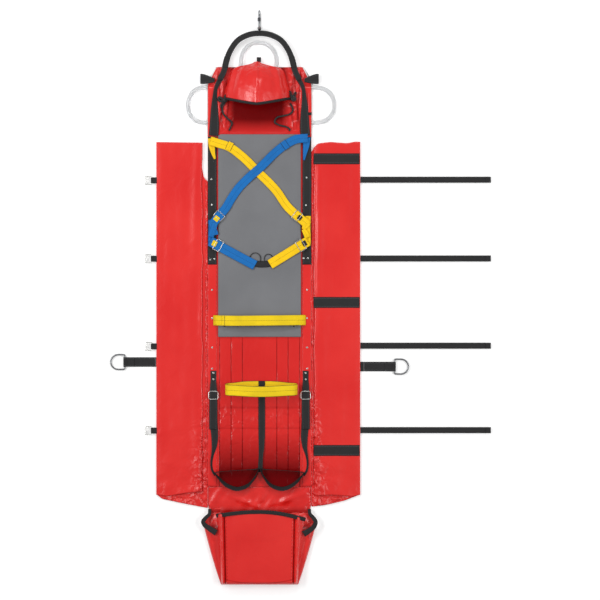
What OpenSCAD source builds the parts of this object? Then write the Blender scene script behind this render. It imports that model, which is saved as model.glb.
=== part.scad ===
// Roll-up rescue stretcher: stiffened coated sheet, folding wings, harness, hood and foot bag.
// Frame: millimetres, +Z up, +Y to the head end, origin under the middle of the back sheet.

/* [Body] */
// Half width of the back sheet
body_half = 238; // [210:1:270]
// Distance from the origin to the head end
head_y = 965; // [940:1:1100]
// Distance from the origin to the foot end
foot_y = 966; // [966:1:1100]
// Thickness of the back sheet
sheet_t = 2; // [1:0.5:3]
// Height of the channel cover above the back sheet
cover_t = 7; // [7:0.5:12]
// Length of the cut-off head corners along the sides
corner_cut = 78; // [40:1:100]
// Thickness of the boards in the channels
board_t = 4; // [2:0.5:4]
// Width of the middle board
spine_w = 145; // [100:1:150]
// Width of each side slat
slat_w = 44; // [30:1:46]

/* [Mat] */
// Width of the padded mat
mat_w = 389; // [300:1:391]
// Head edge of the mat
mat_head = 661; // [600:1:665]
// Foot edge of the mat
mat_foot = -281; // [-320:1:-260]
// Thickness of the mat
mat_t = 12; // [8:1:12]

/* [Webbing] */
// Thickness of all webbing
web_t = 2.2; // [1.5:0.1:2.4]
// Thickness of the side strips
strip_t = 2; // [1:0.5:3]
// Width of the harness shoulder straps
shoulder_w = 40; // [30:1:45]
// Width of the harness leg straps
leg_w = 45; // [35:1:46]
// Width of the closure straps
closure_w = 28; // [20:1:40]
// Length of the closure straps
closure_len = 598; // [400:1:700]
// Width of the lift straps
lift_w = 44; // [30:1:50]
// Width of the foot side straps
foot_strap_w = 41; // [30:1:41]
// Width of the thigh and knee straps
thigh_w = 47; // [30:1:50]

/* [Wings] */
// Width of the left wing
left_wing_w = 235; // [200:1:280]
// Width of the right wing
right_wing_w = 223; // [200:1:280]
// Width of the black wing bands
band_w = 50; // [30:1:70]

/* [Handles] */
// Diameter of the white handle tubes
handle_d = 20; // [14:1:20]
// Reach of the head handle
head_reach = 102; // [80:1:104]
// Reach of the side handles
side_reach = 80; // [60:1:100]

/* [Carabiner] */
// Bar diameter of the carabiner
cara_bar = 11; // [8:0.5:11]
// Outer length of the carabiner
cara_len = 88; // [84:1:120]
// Outer height of the carabiner
cara_h = 62; // [60:1:80]

/* [Rings] */
// Bar diameter of the lift rings
ring_bar = 8; // [6:0.5:8]
// Inside width of the lift rings
ring_in = 60; // [56:1:80]

/* [Hood] */
// Height of the hood at its front
hood_h = 104; // [80:1:120]
// Half width of the hood
hood_half = 144; // [120:1:148]
// Thickness of the hood cloth
hood_t = 2; // [1.5:0.5:3]

/* [Bag] */
// Depth of the foot bag
bag_h = 40; // [30:1:60]
// Thickness of the bag cloth
bag_wall = 3; // [2:0.5:4]

/* [Hidden] */
$fn = 48;

gap = 0.3;                                // running clearance between moving neighbours
cover_z = sheet_t + cover_t;              // top of the channel cover
mat_z = cover_z + mat_t;                  // top of the mat
strip_z = cover_z + strip_t;              // top of the edge strips
side_z = strip_z + 2.5;                   // top of the side webbing
strip_x = body_half - 41;                 // inner edge of the edge strips
foot_strap_x = body_half - 26;            // middle of the foot side straps and their buckles
har_z = mat_z + 3.6;                      // underside of the harness webbing
seam_x = [-184, -131, -79, 79, 131, 184];
slat_x = [-157.5, -105, 105, 157.5];
lift_y = [-391, -412];                    // left and right lift strap
lift_z = sheet_t;
lift_t = web_t - 0.2;                     // pressed flat between the sheets
closure_y = [447, 85, -316, -704];
buckle_y = [444, 84, -319, -706];
wing_axis_x = body_half + 2;
wing_axis_z = sheet_t + 4;
root_r = 1.7;
fold_z = wing_axis_z + 1.5;               // middle of the wing's outer fold
left_edge = wing_axis_x + left_wing_w;
right_edge = wing_axis_x + right_wing_w;
wing_head = 620;
wing_foot = -foot_y - 52;
root_head = 442;                          // where the left wing's root begins
hr = handle_d / 2;
ring_r = ring_bar / 2;
ring_x = 620;
ring_z = ring_r + 2.8;
tail_x = left_edge + 7;
loop_wall = 2.2;
flap_end = foot_y + 94;
bag_y = -flap_end - gap - 2.5;            // hinge line of the bag
sling_y = 905;
sling_z = strip_z + web_t + gap + 3;
eye_y = 1138;
eye_z = 31;
cr = cara_bar / 2;
gate_z = eye_z + cara_h / 2 - cr;
gate_y = eye_y + cara_len - cara_bar - 16 - 8;
gate_len = cara_len - cara_bar - 42;

// ---- helpers ----
function unit2(v) = v / max(norm([v[0], v[1]]), 0.001);
function tan2(p, i) = let(n = len(p))
    unit2([p[min(i + 1, n - 1)][0] - p[max(i - 1, 0)][0],
           p[min(i + 1, n - 1)][1] - p[max(i - 1, 0)][1]]);
function wid(p, i, w) = len(p[i]) > 3 ? p[i][3] : w;
// four corners of a flat strap at point i: width across the path, thickness up
function strap_ring(p, i, w, t) = let(d = tan2(p, i), n = [-d[1], d[0]], h = wid(p, i, w) / 2)
    [[p[i][0] + n[0] * h, p[i][1] + n[1] * h, p[i][2]],
     [p[i][0] - n[0] * h, p[i][1] - n[1] * h, p[i][2]],
     [p[i][0] - n[0] * h, p[i][1] - n[1] * h, p[i][2] + t],
     [p[i][0] + n[0] * h, p[i][1] + n[1] * h, p[i][2] + t]];
function side_faces(n, k) = [for (i = [0:n - 2]) for (j = [0:k - 1])
    each [[i * k + j, i * k + (j + 1) % k, (i + 1) * k + (j + 1) % k],
          [i * k + j, (i + 1) * k + (j + 1) % k, (i + 1) * k + j]]];
// a strap swept along plan points [x, y, z] or [x, y, z, width]
module ribbon(p, w, t) {
    n = len(p);
    polyhedron([for (i = [0:n - 1]) each strap_ring(p, i, w, t)],
        concat(side_faces(n, 4), [[3, 2, 1, 0]], [[for (j = [0:3]) (n - 1) * 4 + j]]));
}
function unit3(v) = v / max(norm(v), 0.001);
function tan3(p, i) = let(n = len(p)) unit3([for (k = [0:2])
    p[min(i + 1, n - 1)][k] - p[max(i - 1, 0)][k]]);
// rings across a path, each turned so that its first arm stays across the fixed direction up
function tube_ring(p, i, r, k, up) = let(d = tan3(p, i), a = unit3(cross(up, d)),
    b = cross(d, a), q = len(p[i]) > 3 ? p[i][3] * r : r)
    [for (j = [0:k - 1]) [for (m = [0:2]) p[i][m] + q * (cos(360 * j / k) * a[m]
        + sin(360 * j / k) * b[m])]];
module tube(p, r, k = 10, up = [0, 0, 1]) {
    n = len(p);
    polyhedron([for (i = [0:n - 1]) each tube_ring(p, i, r, k, up)],
        concat([for (f = side_faces(n, k)) [f[0], f[2], f[1]]],
            [[for (j = [0:k - 1]) j]], [[for (j = [k - 1:-1:0]) (n - 1) * k + j]]));
}
module at(x, y, z) translate([x, y, z]) children();
// a box between two corners
module box(a, b) translate(a) cube(b - a);
module plate(pts, z, t) translate([0, 0, z]) linear_extrude(t) polygon(pts);
// a rod between two points that lie along one axis: 0 is X, 1 is Y
module rod_y(x, z, r, y0, y1) translate([x, y0, z]) rotate([-90, 0, 0]) cylinder(r = r, h = y1 - y0);
module rod_x(y, z, r, x0, x1) translate([x0, y, z]) rotate([0, 90, 0]) cylinder(r = r, h = x1 - x0);

// ---- body ----
function outline(h, head, foot) = [[-h, -foot], [h, -foot], [h, head - corner_cut],
    [h - 40, head], [-h + 40, head], [-h, head - corner_cut]];
module back_sheet() color("#E2231F") plate(outline(body_half, head_y, foot_y), 0, sheet_t);

module slat_cover() color("#D9211D") difference() {
    plate(outline(body_half, head_y, foot_y), sheet_t, cover_t);
    box([-spine_w / 2 - 0.5, -foot_y + 14, sheet_t - 1], [spine_w / 2 + 0.5, head_y - 14,
        sheet_t + board_t + 0.2]);
    for (x = slat_x) box([x - slat_w / 2 - 0.5, -foot_y + 14, sheet_t - 1],
        [x + slat_w / 2 + 0.5, head_y - 14, sheet_t + board_t + 0.2]);
    for (x = seam_x) box([x - 1, -foot_y + 6, cover_z - 0.8], [x + 1, mat_foot - 3, cover_z + 1]);
    for (y = [-600, -695]) box([-184, y - 1, cover_z - 0.6], [184, y + 1, cover_z + 1]);
    box([-body_half - 1, lift_y[0] - lift_w / 2 - 0.5, sheet_t - 1],
        [-body_half + 42, lift_y[0] + lift_w / 2 + 0.5, lift_z + web_t + 0.1]);
    box([body_half - 42, lift_y[1] - lift_w / 2 - 0.5, sheet_t - 1],
        [body_half + 1, lift_y[1] + lift_w / 2 + 0.5, lift_z + web_t + 0.1]);
}
module board(x, w) box([x - w / 2, -foot_y + 16, sheet_t], [x + w / 2, head_y - 16, sheet_t + board_t]);
module spine_board() color("#C9B58A") board(0, spine_w);
module side_slats() color("#C9B58A") for (x = slat_x) board(x, slat_w);

module foam_mat() color("#7A7B7E") at(0, 0, cover_z) linear_extrude(mat_t) union() {
    h = mat_w / 2;
    polygon([[-h + 10, mat_foot], [h - 10, mat_foot], [h, mat_foot + 10], [h, mat_head - 24],
        [h - 12, mat_head - 8], [h - 30, mat_head], [-h + 30, mat_head], [-h + 12, mat_head - 8],
        [-h, mat_head - 24], [-h, mat_foot + 10]]);
}
module edge_strips() color("#D9211D") for (s = [-1, 1])
    box([s > 0 ? strip_x : -body_half, -foot_y, cover_z],
        [s > 0 ? body_half : -strip_x, head_y - corner_cut - 7, strip_z]);
module side_webbing() color("#262626") for (s = [-1, 1])
    box([s > 0 ? strip_x : -body_half, 57, strip_z], [s > 0 ? body_half : -strip_x, 645, side_z]);

rivet_low = [for (s = [-1, 1]) for (y = [-59, -189, -324, -421]) [s * (body_half - 20), y, strip_z]];
// in from the side edge, and along the body
rivet_web = [[-1, 17, 449], [-1, 19, 331], [-1, 11, 80], [-1, 31, 83], [1, 22, 456], [1, 25, 330],
    [1, 35, 86], [1, 16, 86]];
rivet_foot = [for (s = [-1, 1]) for (y = [-441, -470]) [s * foot_strap_x, y, strip_z + web_t]];
module rivets() color("#C8C8C6") {
    for (p = rivet_low) translate(p) cylinder(r = 4.5, h = 1.8);
    for (p = rivet_web) at(p[0] * (body_half - p[1]), p[2], side_z) cylinder(r = 4.5, h = 1.8);
    for (p = rivet_foot) translate(p) cylinder(r = 4.5, h = 1.8);
}

// ---- hood: arched shell closed to a point at the head end ----
hood_cx = -10;
hood_z = cover_z + gap;
hood_stations = [[800, 1.0, 1.0, 26], [824, 1.01, 1.04, 20], [850, 1.0, 1.06, 12], [880, 0.92, 1.04, 6],
    [908, 0.82, 0.97, 2], [934, 0.68, 0.84, 0], [955, 0.52, 0.66, 0], [972, 0.34, 0.47, 0],
    [986, 0.1, 0.3, 0]];
hood_k = 20;
function hood_pt(s, j, in) = let(a = 180 - 180 * j / hood_k)
    [hood_cx + (hood_half * s[1] - in) * cos(a),
     s[0] + s[3] * pow(abs(cos(a)), 2),
     hood_z + (hood_h * s[2] - in) * pow(max(sin(a), 0), 0.85)];
// the inside stops one station short of the tip
module hood_skin(in, last) {
    n = last;
    pts = [for (i = [0:n - 1]) for (j = [0:hood_k])
        let(s = hood_stations[i], q = in > 0 && i == 0 ? [s[0] - 3, s[1], s[2], s[3]] : s,
            v = hood_pt(q, j, in)) [v[0], v[1], j % hood_k == 0 ? v[2] - (in > 0 ? 3 : 0) : v[2]]];
    k = hood_k + 1;
    polyhedron(pts, concat(
        [for (i = [0:n - 2]) for (j = [0:hood_k]) let(m = (j + 1) % k)
            each [[i * k + j, (i + 1) * k + j, (i + 1) * k + m], [i * k + j, (i + 1) * k + m, i * k + m]]],
        [[for (j = [0:hood_k]) j]], [[for (j = [hood_k:-1:0]) (n - 1) * k + j]]));
}
module hood_shell() color("#E2231F") difference() {
    hood_skin(0, len(hood_stations));
    hood_skin(hood_t, len(hood_stations) - 1);
}
piping_r = 4.5;
module hood_trim() color("#262626") {
    tube([for (j = [1:hood_k - 1]) let(v = hood_pt(hood_stations[0], j, 1))
        [v[0], v[1] - piping_r - 0.6, v[2]]], piping_r, 8, [0, 1, 0]);
    box([hood_cx - 3, 986.5, hood_z + 4], [hood_cx + 17, 1009, hood_z + 4 + web_t]);
}
cord_r = 4.2;
cord_left = [[-158, 800, 14], [-166, 790, 14], [-171, 773, 14], [-166, 750, 14], [-146, 727, 14],
    [-126, 705, 14], [-134, 686, 14], [-140, 672, 14]];
cord_right = [[140, 797, 14], [150, 782, 14], [153, 765, 14], [142, 750, 14], [110, 740, 14],
    [79, 731, 14], [69, 712, 14], [92, 697, 14], [125, 688, 14], [138, 679, 14], [137, 670, 14]];
module hood_cord_left() color("#1E1E1E") tube(cord_left, cord_r, 8);
module hood_cord_right() color("#1E1E1E") tube(cord_right, cord_r, 8);
lock_x = 157;
lock_y = 818;
module cord_lock_body() color("#2A2A2A") at(lock_x, lock_y, cover_z) difference() {
    cylinder(r = 13, h = 14);
    at(0, 0, 3) cylinder(r = 6, h = 20);
}
module cord_lock_button() color("#3A3A3A") at(lock_x, lock_y, cover_z + 8) cylinder(r = 5.7, h = 10);

// ---- head end webbing ----
module shoulder_webs() color("#262626") for (s = [-1, 1])
    ribbon([for (p = [[23, 646, 44], [24, 690, 42], [29, 760, 34], [34, 820, 22], [38, 856, 17],
        [48, 888, 18], [60, 912, 22]]) [s * (body_half - p[0]), p[1], strip_z, p[2]]], 20, web_t);
module loop2d(len_in, h, t) difference() {
    union() { square([len_in, h]); at(len_in, h / 2, 0) circle(r = h / 2); }
    at(t, t, 0) square([len_in - t, h - 2 * t]);
    at(len_in, h / 2, 0) circle(r = h / 2 - t);
}
module side_loops() color("#262626") for (s = [-1, 1])
    mirror([s < 0 ? 1 : 0, 0, 0]) at(body_half - 32, 932, cover_z) rotate([90, 0, 0])
        linear_extrude(45) loop2d(60, 13, web_t);
sling_half = [[180, 906, 0], [179, 913, 0.5], [172, 926, 1], [163, 945, 2], [155, 980, 4],
    [143, 1017, 6], [124, 1054, 8], [98, 1085, 10], [60, 1106, 12], [30, 1114, 13], [0, 1116, 13.5]];
sling_pts = concat([for (p = sling_half) [-p[0], p[1], sling_z - web_t / 2 + p[2]]],
    [for (i = [len(sling_half) - 2:-1:0]) let(p = sling_half[i])
        [p[0], p[1], sling_z - web_t / 2 + p[2]]]);
module sling() color("#262626") {
    ribbon(sling_pts, 26, web_t);
    for (s = [-1, 1]) rod_x(sling_y, sling_z, 3, s * 180 - 12, s * 180 + 12);
    box([-4, 1118, eye_z - 6], [4, eye_y - cr - 1.5, eye_z + 6]);
    at(0, eye_y, eye_z - 8) difference() {
        cylinder(r = cr + 3.3, h = 16);
        at(0, 0, -1) cylinder(r = cr + 0.7, h = 18);
    }
}
// ---- carabiner: bar bent to a rounded rectangle in the plane x = 0 ----
cara_R = 16;                              // corner radius at the middle of the bar
cara_a = cara_len - cara_bar;             // middle-line length
cara_b = cara_h - cara_bar;               // middle-line height
// a quarter bend of the middle line about [y, z], starting at angle a
function bend(y, z, a) = [for (q = [0:15:90]) [0, y + cara_R * cos(a + q), z + cara_R * sin(a + q)]];
module carabiner_frame() color("#B9BBBD") {
    z0 = eye_z - cara_b / 2 + cara_R;
    z1 = eye_z + cara_b / 2 - cara_R;
    y0 = eye_y + cara_R;
    y1 = eye_y + cara_a - cara_R;
    tube(concat([[0, gate_y + cr - 0.5 + gap, z1 + cara_R]],
        [for (p = [for (i = [6:-1:0]) bend(y1, z1, 0)[i]]) p],
        [for (i = [6:-1:0]) bend(y1, z0, 270)[i]],
        [for (i = [6:-1:0]) bend(y0, z0, 180)[i]],
        [for (i = [6:-1:0]) bend(y0, z1, 90)[i]],
        [[0, gate_y - gate_len, z1 + cara_R]]), cr, 16, [1, 0, 0]);
}
gate_r = cr - 0.5;
module carabiner_gate() color("#8F9193") union() {
    at(0, gate_y, gate_z) sphere(r = gate_r);
    rod_y(0, gate_z, gate_r - 0.4, gate_y - gate_len + gap, gate_y);
}
module carabiner_sleeve() color("#55585A") difference() {
    rod_y(0, gate_z, gate_r + 2.6, gate_y - gate_len + 9, gate_y - 9);
    rod_y(0, gate_z, gate_r - 0.1, gate_y - gate_len + 8, gate_y - 8);
}
// ---- tube handles: half ellipse between two rounded ends ----
handle_x = body_half + gap + hr;
handle_y = head_y + gap + hr;
hk = 18;
function bow(c, half, reach) = [for (i = [0:hk]) let(a = 180 * i / hk)
    [c - half * cos(a), reach * pow(max(sin(a), 0), 0.8), hr]];
// rounded ends: extra rings before and after with falling radius
function capped(p) = let(n = len(p)) concat(
    [for (a = [80, 55, 28]) [p[0][0], p[0][1] - hr * sin(a), p[0][2], cos(a)]],
    [for (q = p) [q[0], q[1], q[2], 1]],
    [for (a = [28, 55, 80]) [p[n - 1][0], p[n - 1][1] - hr * sin(a), p[n - 1][2], cos(a)]]);
module handle(half, reach) tube(capped(bow(0, half, reach)), hr, 12);
module handle_head() color("#F2F2F2") at(-3.5, handle_y, 0) handle(83, head_reach);
module handle_left() color("#F2F2F2") at(-handle_x, 790, 0) rotate([0, 0, 90]) handle(81, side_reach);
module handle_right() color("#F2F2F2") at(handle_x, 790, 0) rotate([0, 0, -90]) handle(81, side_reach + 16);

// ---- wings: one sheet folded double, fold at the outer edge ----
module wing(s, edge, root_y, under, over) {
    plate(under, wing_axis_z - 1, 2);
    plate(over, wing_axis_z + 2, 2);
    rod_y(s * wing_axis_x, wing_axis_z, root_r, wing_foot - 38, root_y);
    difference() {
        rod_y(s * (edge - 2.5), fold_z, 2.5, wing_foot + 18, wing_head);
        rod_y(s * (edge - 2.5), fold_z, 0.5, wing_foot, wing_head + 5);
        box([min(s * (edge - 2.5), s * (edge - 6)), wing_foot, 0],
            [max(s * (edge - 2.5), s * (edge - 6)), wing_head + 5, 20]);
    }
}
module left_wing() color("#E2231F") wing(-1, left_edge, root_head,
    [[-wing_axis_x, root_head], [-wing_axis_x - 24, root_head + 34], [-wing_axis_x - 32, wing_head - 6],
     [-left_edge + 2.5, wing_head], [-left_edge + 2.5, wing_foot + 18], [-left_edge + 29, wing_foot - 3],
     [-wing_axis_x - 72, wing_foot - 30], [-wing_axis_x, wing_foot - 44]],
    [[-wing_axis_x - 30, wing_head - 3], [-left_edge + 2.5, wing_head], [-left_edge + 2.5, wing_foot + 18],
     [-left_edge + 10, wing_foot + 4], [-wing_axis_x - 30, wing_foot]]);
module right_wing() color("#E2231F") wing(1, right_edge, wing_head - 42,
    [[wing_axis_x, wing_head - 40], [wing_axis_x + 18, wing_head - 16], [wing_axis_x + 36, wing_head - 6],
     [right_edge - 2.5, wing_head], [right_edge - 2.5, wing_foot + 18],
     [right_edge - 73, wing_foot - 10], [wing_axis_x + 63, wing_foot - 30], [wing_axis_x, wing_foot - 38]],
    [[wing_axis_x + 10, wing_head - 38], [wing_axis_x + 18, wing_head - 18],
     [wing_axis_x + 36, wing_head - 6], [right_edge - 2.5, wing_head],
     [right_edge - 2.5, wing_foot + 18], [wing_axis_x + 10, wing_foot + 12]]);
module wing_bands() color("#262626") for (y = [543, -117, -797])
    box([wing_axis_x + 14, y - band_w / 2, wing_axis_z + 4],
        [right_edge - 3, y + band_w / 2, wing_axis_z + 6]);
module closure_strap(i) color("#262626") {
    x = right_edge + gap + 1.8;
    rod_y(x, fold_z, 1.8, closure_y[i] - closure_w / 2, closure_y[i] + closure_w / 2);
    box([x, closure_y[i] - closure_w / 2, fold_z - web_t / 2],
        [x + closure_len, closure_y[i] + closure_w / 2, fold_z + web_t / 2]);
}
module closure_strap_1() closure_strap(0);
module closure_strap_2() closure_strap(1);
module closure_strap_3() closure_strap(2);
module closure_strap_4() closure_strap(3);
buckle_x = left_edge + 21;
module buckle_tabs() color("#262626") for (y = buckle_y) difference() {
    union() {
        box([-buckle_x + 3.2, y - closure_w / 2, fold_z - 1.1],
            [-left_edge, y + closure_w / 2, fold_z + 1.1]);
        rod_y(-buckle_x, fold_z, 4.2, y - closure_w / 2, y + closure_w / 2);
    }
    rod_y(-buckle_x, fold_z, 2.2, y - closure_w, y + closure_w);
}
module buckle(i) color("#D4D4D0") {
    y = buckle_y[i];
    h = closure_w / 2 + 3;
    rod_y(-buckle_x, fold_z, 1.8, y - h, y + h);
    rod_y(-buckle_x - 28, fold_z, 1.8, y - h, y + h);
    rod_y(-buckle_x - 17, fold_z, 1.5, y - h, y + h);
    for (s = [-1, 1]) box([-buckle_x - 28, y + s * h - 2, fold_z - 1.8],
        [-buckle_x, y + s * h + 2, fold_z + 1.8]);
}
module buckle_1() buckle(0);
module buckle_2() buckle(1);
module buckle_3() buckle(2);
module buckle_4() buckle(3);

// ---- lift straps and rings ----
module lift_straps() color("#262626") for (s = [0, 1]) {
    m = s == 0 ? -1 : 1;
    box([m < 0 ? -tail_x + 2.3 : body_half - 41, lift_y[s] - lift_w / 2, lift_z],
        [m < 0 ? -body_half + 41 : tail_x - 2.3, lift_y[s] + lift_w / 2, lift_z + lift_t]);
}
module lift_tail(m, y) color("#262626") difference() {
    union() {
        rod_y(m * tail_x, lift_z + 1, 1.7, y - lift_w / 2, y + lift_w / 2);
        box([m < 0 ? -ring_x + ring_r : tail_x, y - lift_w / 2, lift_z],
            [m < 0 ? -tail_x : ring_x - ring_r, y + lift_w / 2, lift_z + 2]);
        box([m < 0 ? -ring_x + 14 : ring_x - 46, y - lift_w / 2, lift_z + 2],
            [m < 0 ? -ring_x + 46 : ring_x - 14, y + lift_w / 2, lift_z + 4]);
        rod_y(m * ring_x, ring_z, ring_r + 0.4 + loop_wall, y - lift_w / 2, y + lift_w / 2);
    }
    rod_y(m * ring_x, ring_z, ring_r + 0.4, y - lift_w, y + lift_w);
}
module lift_tail_left() lift_tail(-1, lift_y[0]);
module lift_tail_right() lift_tail(1, lift_y[1]);
module lift_ring(y) at(0, y, ring_z) union() {
    R = ring_in / 2 + ring_r;
    leg = 30;
    rod_y(ring_x, 0, ring_r, -R, R);
    for (s = [-1, 1]) rod_x(s * R, 0, ring_r, ring_x, ring_x + leg);
    for (s = [-1, 1]) at(ring_x, s * R, 0) sphere(r = ring_r);
    at(ring_x + leg, 0, 0) rotate([0, 0, -90]) rotate_extrude(angle = 180) at(R, 0, 0) circle(r = ring_r);
}
module lift_ring_left() color("#8E8E8E") mirror([1, 0, 0]) lift_ring(lift_y[0]);
module lift_ring_right() color("#8E8E8E") lift_ring(lift_y[1]);

// ---- harness ----
module shoulder_strap_yellow() color("#FFD500") {
    ribbon([[-body_half + 19, 622, har_z], [-147, 600, har_z], [-86, 558, har_z], [-10, 484, har_z],
        [78, 394, har_z], [139, 309, har_z], [172, 281, har_z], [body_half - 17, 240, har_z]],
        shoulder_w, web_t);
    box([-anchor_x, 546, side_z], [-strip_x - 3, 640, har_z]);
}
blue_z = har_z + web_t + 0.5;
anchor_x = body_half - 2.5;               // outer face of the folded strap ends
module shoulder_strap_blue() color("#0F7BC8") {
    ribbon([[body_half - 28, 636, har_z], [172, 632, har_z], [125, 610, har_z], [69, 567, har_z],
        [40, 538, blue_z], [3, 501, blue_z], [-44, 460, blue_z], [-62, 442, blue_z],
        [-91, 413, har_z], [-128, 361, har_z], [-156, 314, har_z], [-185, 280, har_z],
        [-body_half + 21, 243, har_z]], shoulder_w, web_t);
    box([strip_x + 3, 537, side_z], [body_half - 8, 640, har_z]);
}
module leg_strap_blue() color("#0F7BC8")
    ribbon([[-body_half + 16, 162, har_z], [-156, 126, har_z], [-63, 76, har_z], [-20, 53, har_z]],
        leg_w, web_t);
module leg_strap_yellow() color("#FFD500")
    ribbon([[body_half - 16, 164, har_z], [149, 119, har_z], [102, 90, har_z], [48, 57, har_z]],
        leg_w, web_t);
module harness_anchor_left() color("#0F7BC8") {
    box([-anchor_x, 195, side_z], [-body_half + 28, 262, har_z]);
    box([-anchor_x, 148, side_z], [-body_half + 14, 195, har_z]);
}
module harness_anchor_right() color("#FFD500") {
    box([body_half - 28, 195, side_z], [anchor_x, 280, har_z]);
    box([body_half - 14, 148, side_z], [anchor_x, 195, har_z]);
}
// three-bar slider around a strap that runs along the local X direction
module slider(w, l) {
    h = w / 2 + gap;
    z0 = har_z - gap - 2.6;
    z1 = har_z + web_t + gap;
    for (s = [-1, 1]) box([-l / 2, s > 0 ? h : -h - 4, z0], [l / 2, s > 0 ? h + 4 : -h, z1 + 2.4]);
    box([-2.5, -h - 1, z0], [2.5, h + 1, z0 + 2.6]);
    for (x = [-l / 2, l / 2 - 5]) box([x, -h - 1, z1], [x + 5, h + 1, z1 + 2.4]);
}
module slider_shoulder_right() color("#1F2326") at(172, 281, 0) rotate([0, 0, -39.9]) slider(shoulder_w, 34);
module slider_shoulder_left() color("#E8C412") at(-185, 280, 0) rotate([0, 0, 49.2]) slider(shoulder_w, 34);
module slider_leg_left() color("#E8C412") at(-190, 144.5, 0) rotate([0, 0, -28.6]) slider(leg_w, 34);
module slider_leg_right() color("#1F2326") at(190, 144.3, 0) rotate([0, 0, 31.65]) slider(leg_w, 34);
module crotch_links() color("#262626") {
    ribbon([[-46, 70, mat_z + gap], [-10, 60, mat_z + gap], [38, 60, mat_z + gap],
        [76, 72, mat_z + gap]], 30, har_z - mat_z - 2 * gap);
    for (p = [[-19, 25], [41, 19]]) at(p[0], 86, mat_z + gap + 1.5) {
        rotate_extrude(angle = 180) at(p[1], 0, 0) circle(r = 1.5, $fn = 24);
        for (s = [-1, 1]) rotate([90, 0, 0]) at(s * p[1], 0, 0) cylinder(r = 1.5, h = 18, $fn = 24);
    }
}
// ---- leg straps across ----
module thigh_strap() color("#F2D21C") {
    ribbon([[-body_half + 28, -199, strip_z + gap + 0.8], [-body_half + 32, -199, strip_z + 4],
        [-strip_x - 2, -199, mat_z + 1],
        [-170, -200, mat_z + 12], [-100, -201, mat_z + 21], [0, -200, mat_z + 25],
        [104, -199, mat_z + 21], [174, -198, mat_z + 12], [strip_x + 4, -198, mat_z + 1],
        [body_half - 30, -198, strip_z + 4], [body_half - 26, -198, strip_z + gap]], thigh_w, web_t);
    rod_y(-body_half + 28, strip_z + gap + 1.9, 1.9, -199 - thigh_w / 2, -199 + thigh_w / 2);
}
knee_z = cover_z + gap + web_t + gap;
module knee2d(w, h) union() {
    square([w - h, h], center = true);
    for (s = [-1, 1]) at(s * (w - h) / 2, 0, 0) circle(r = h / 2);
}
module knee_strap() color("#F2D21C") at(9, -494, knee_z + 27.5) rotate([90, 0, 0])
    linear_extrude(thigh_w) difference() { knee2d(332, 55); knee2d(332 - 2 * web_t, 55 - 2 * web_t); }
module centre_strap() color("#262626") ribbon([[10, -480, cover_z + gap, 31], [10, -740, cover_z + gap, 31],
    [8, -800, cover_z + gap, 24], [4, -850, cover_z + gap, 20], [3, -896, cover_z + gap, 22]], 31, web_t);
loop_z = cover_z + 2 * gap + web_t;
stirrup = [[4, -882], [8, -892], [26, -925], [52, -955], [80, -968], [106, -972], [134, -964], [162, -947],
    [186, -922], [204, -898], [180, -893], [130, -889], [70, -885], [30, -883]];
// closed wall of webbing standing on edge
function loop_pt(p, i, off) = let(n = len(p), a = p[(i + n - 1) % n], b = p[(i + 1) % n],
    d = unit2([b[0] - a[0], b[1] - a[1]])) [p[i][0] - d[1] * off, p[i][1] + d[0] * off];
module stirrup_loop(h) at(0, 0, loop_z) linear_extrude(h) difference() {
    polygon([for (i = [0:len(stirrup) - 1]) loop_pt(stirrup, i, -web_t / 2)]);
    polygon([for (i = [0:len(stirrup) - 1]) loop_pt(stirrup, i, web_t / 2)]);
}
module foot_loops() color("#262626") {
    stirrup_loop(26);
    mirror([1, 0, 0]) stirrup_loop(26);
}
module foot_side_straps() color("#262626") for (s = [-1, 1]) {
    up = strip_z + 3.4;
    x = s * foot_strap_x;
    ribbon([[x, -431, strip_z], [x, -479, strip_z], [x, -497, up], [x, -700, up]], foot_strap_w, web_t);
    ribbon([for (p = [[0, -650, 36], [2, -710, 30], [8, -770, 24], [12, -818, 20], [11, -870, 20],
        [6, -914, 22]]) [x + s * p[0], p[1], strip_z, p[2]]], 22, web_t);
    box([x - 14, -700, strip_z + 1], [x + 14, -670, up + 1]);
}
module foot_buckles() color("#CFCFCB") for (s = [-1, 1]) at(s * foot_strap_x, -543, 0) {
    h = foot_strap_w / 2;
    z0 = strip_z + gap;
    z1 = strip_z + 3.4 + web_t + gap;
    for (m = [-1, 1]) box([m > 0 ? h + gap : -h - gap - 2.6, -17, z0],
        [m > 0 ? h + gap + 2.6 : -h - gap, 17, z1 + 2.4]);
    box([-h - 1, -2.5, z0], [h + 1, 2.5, strip_z + 3.4 - gap]);
    for (y = [-17, 12]) box([-h - 1, y, z1], [h + 1, y + 5, z1 + 2.4]);
}
// ---- foot end ----
module foot_flap() color("#D9211D") box([-body_half + 0.3, -flap_end, 1.5], [body_half - 0.3, -foot_y, 8]);
bag_pts = [[230, bag_y - 12], [232, bag_y - 34], [262, bag_y - 58], [260, bag_y - 76], [246, bag_y - 130],
    [226, bag_y - 200], [198, bag_y - 292], [178, bag_y - 351]];
function both(p) = concat(p, [for (i = [len(p) - 1:-1:0]) [-p[i][0], p[i][1]]]);
module bag_shell() color("#E2231F") union() {
    rod_x(bag_y, 4.5, 2.5, -228, 228);
    box([-228, bag_y - 20, 2.5], [228, bag_y, 2.5 + bag_wall]);
    difference() {
        plate(both(bag_pts), 0, bag_h);
        plate(both([for (p = bag_pts) [p[0] - bag_wall - 1, p[1] + (p[1] < bag_y - 340 ? bag_wall + 1 : 0)]]),
            bag_wall, bag_h - 2 * bag_wall);
        box([-226, bag_y - 16, 2.5 + bag_wall], [226, bag_y - 2, bag_h - bag_wall]);
    }
}
pocket_pts = [[146, bag_y - 20], [155, bag_y - 30], [155, bag_y - 290], [146, bag_y - 310],
    [124, bag_y - 321]];
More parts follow.
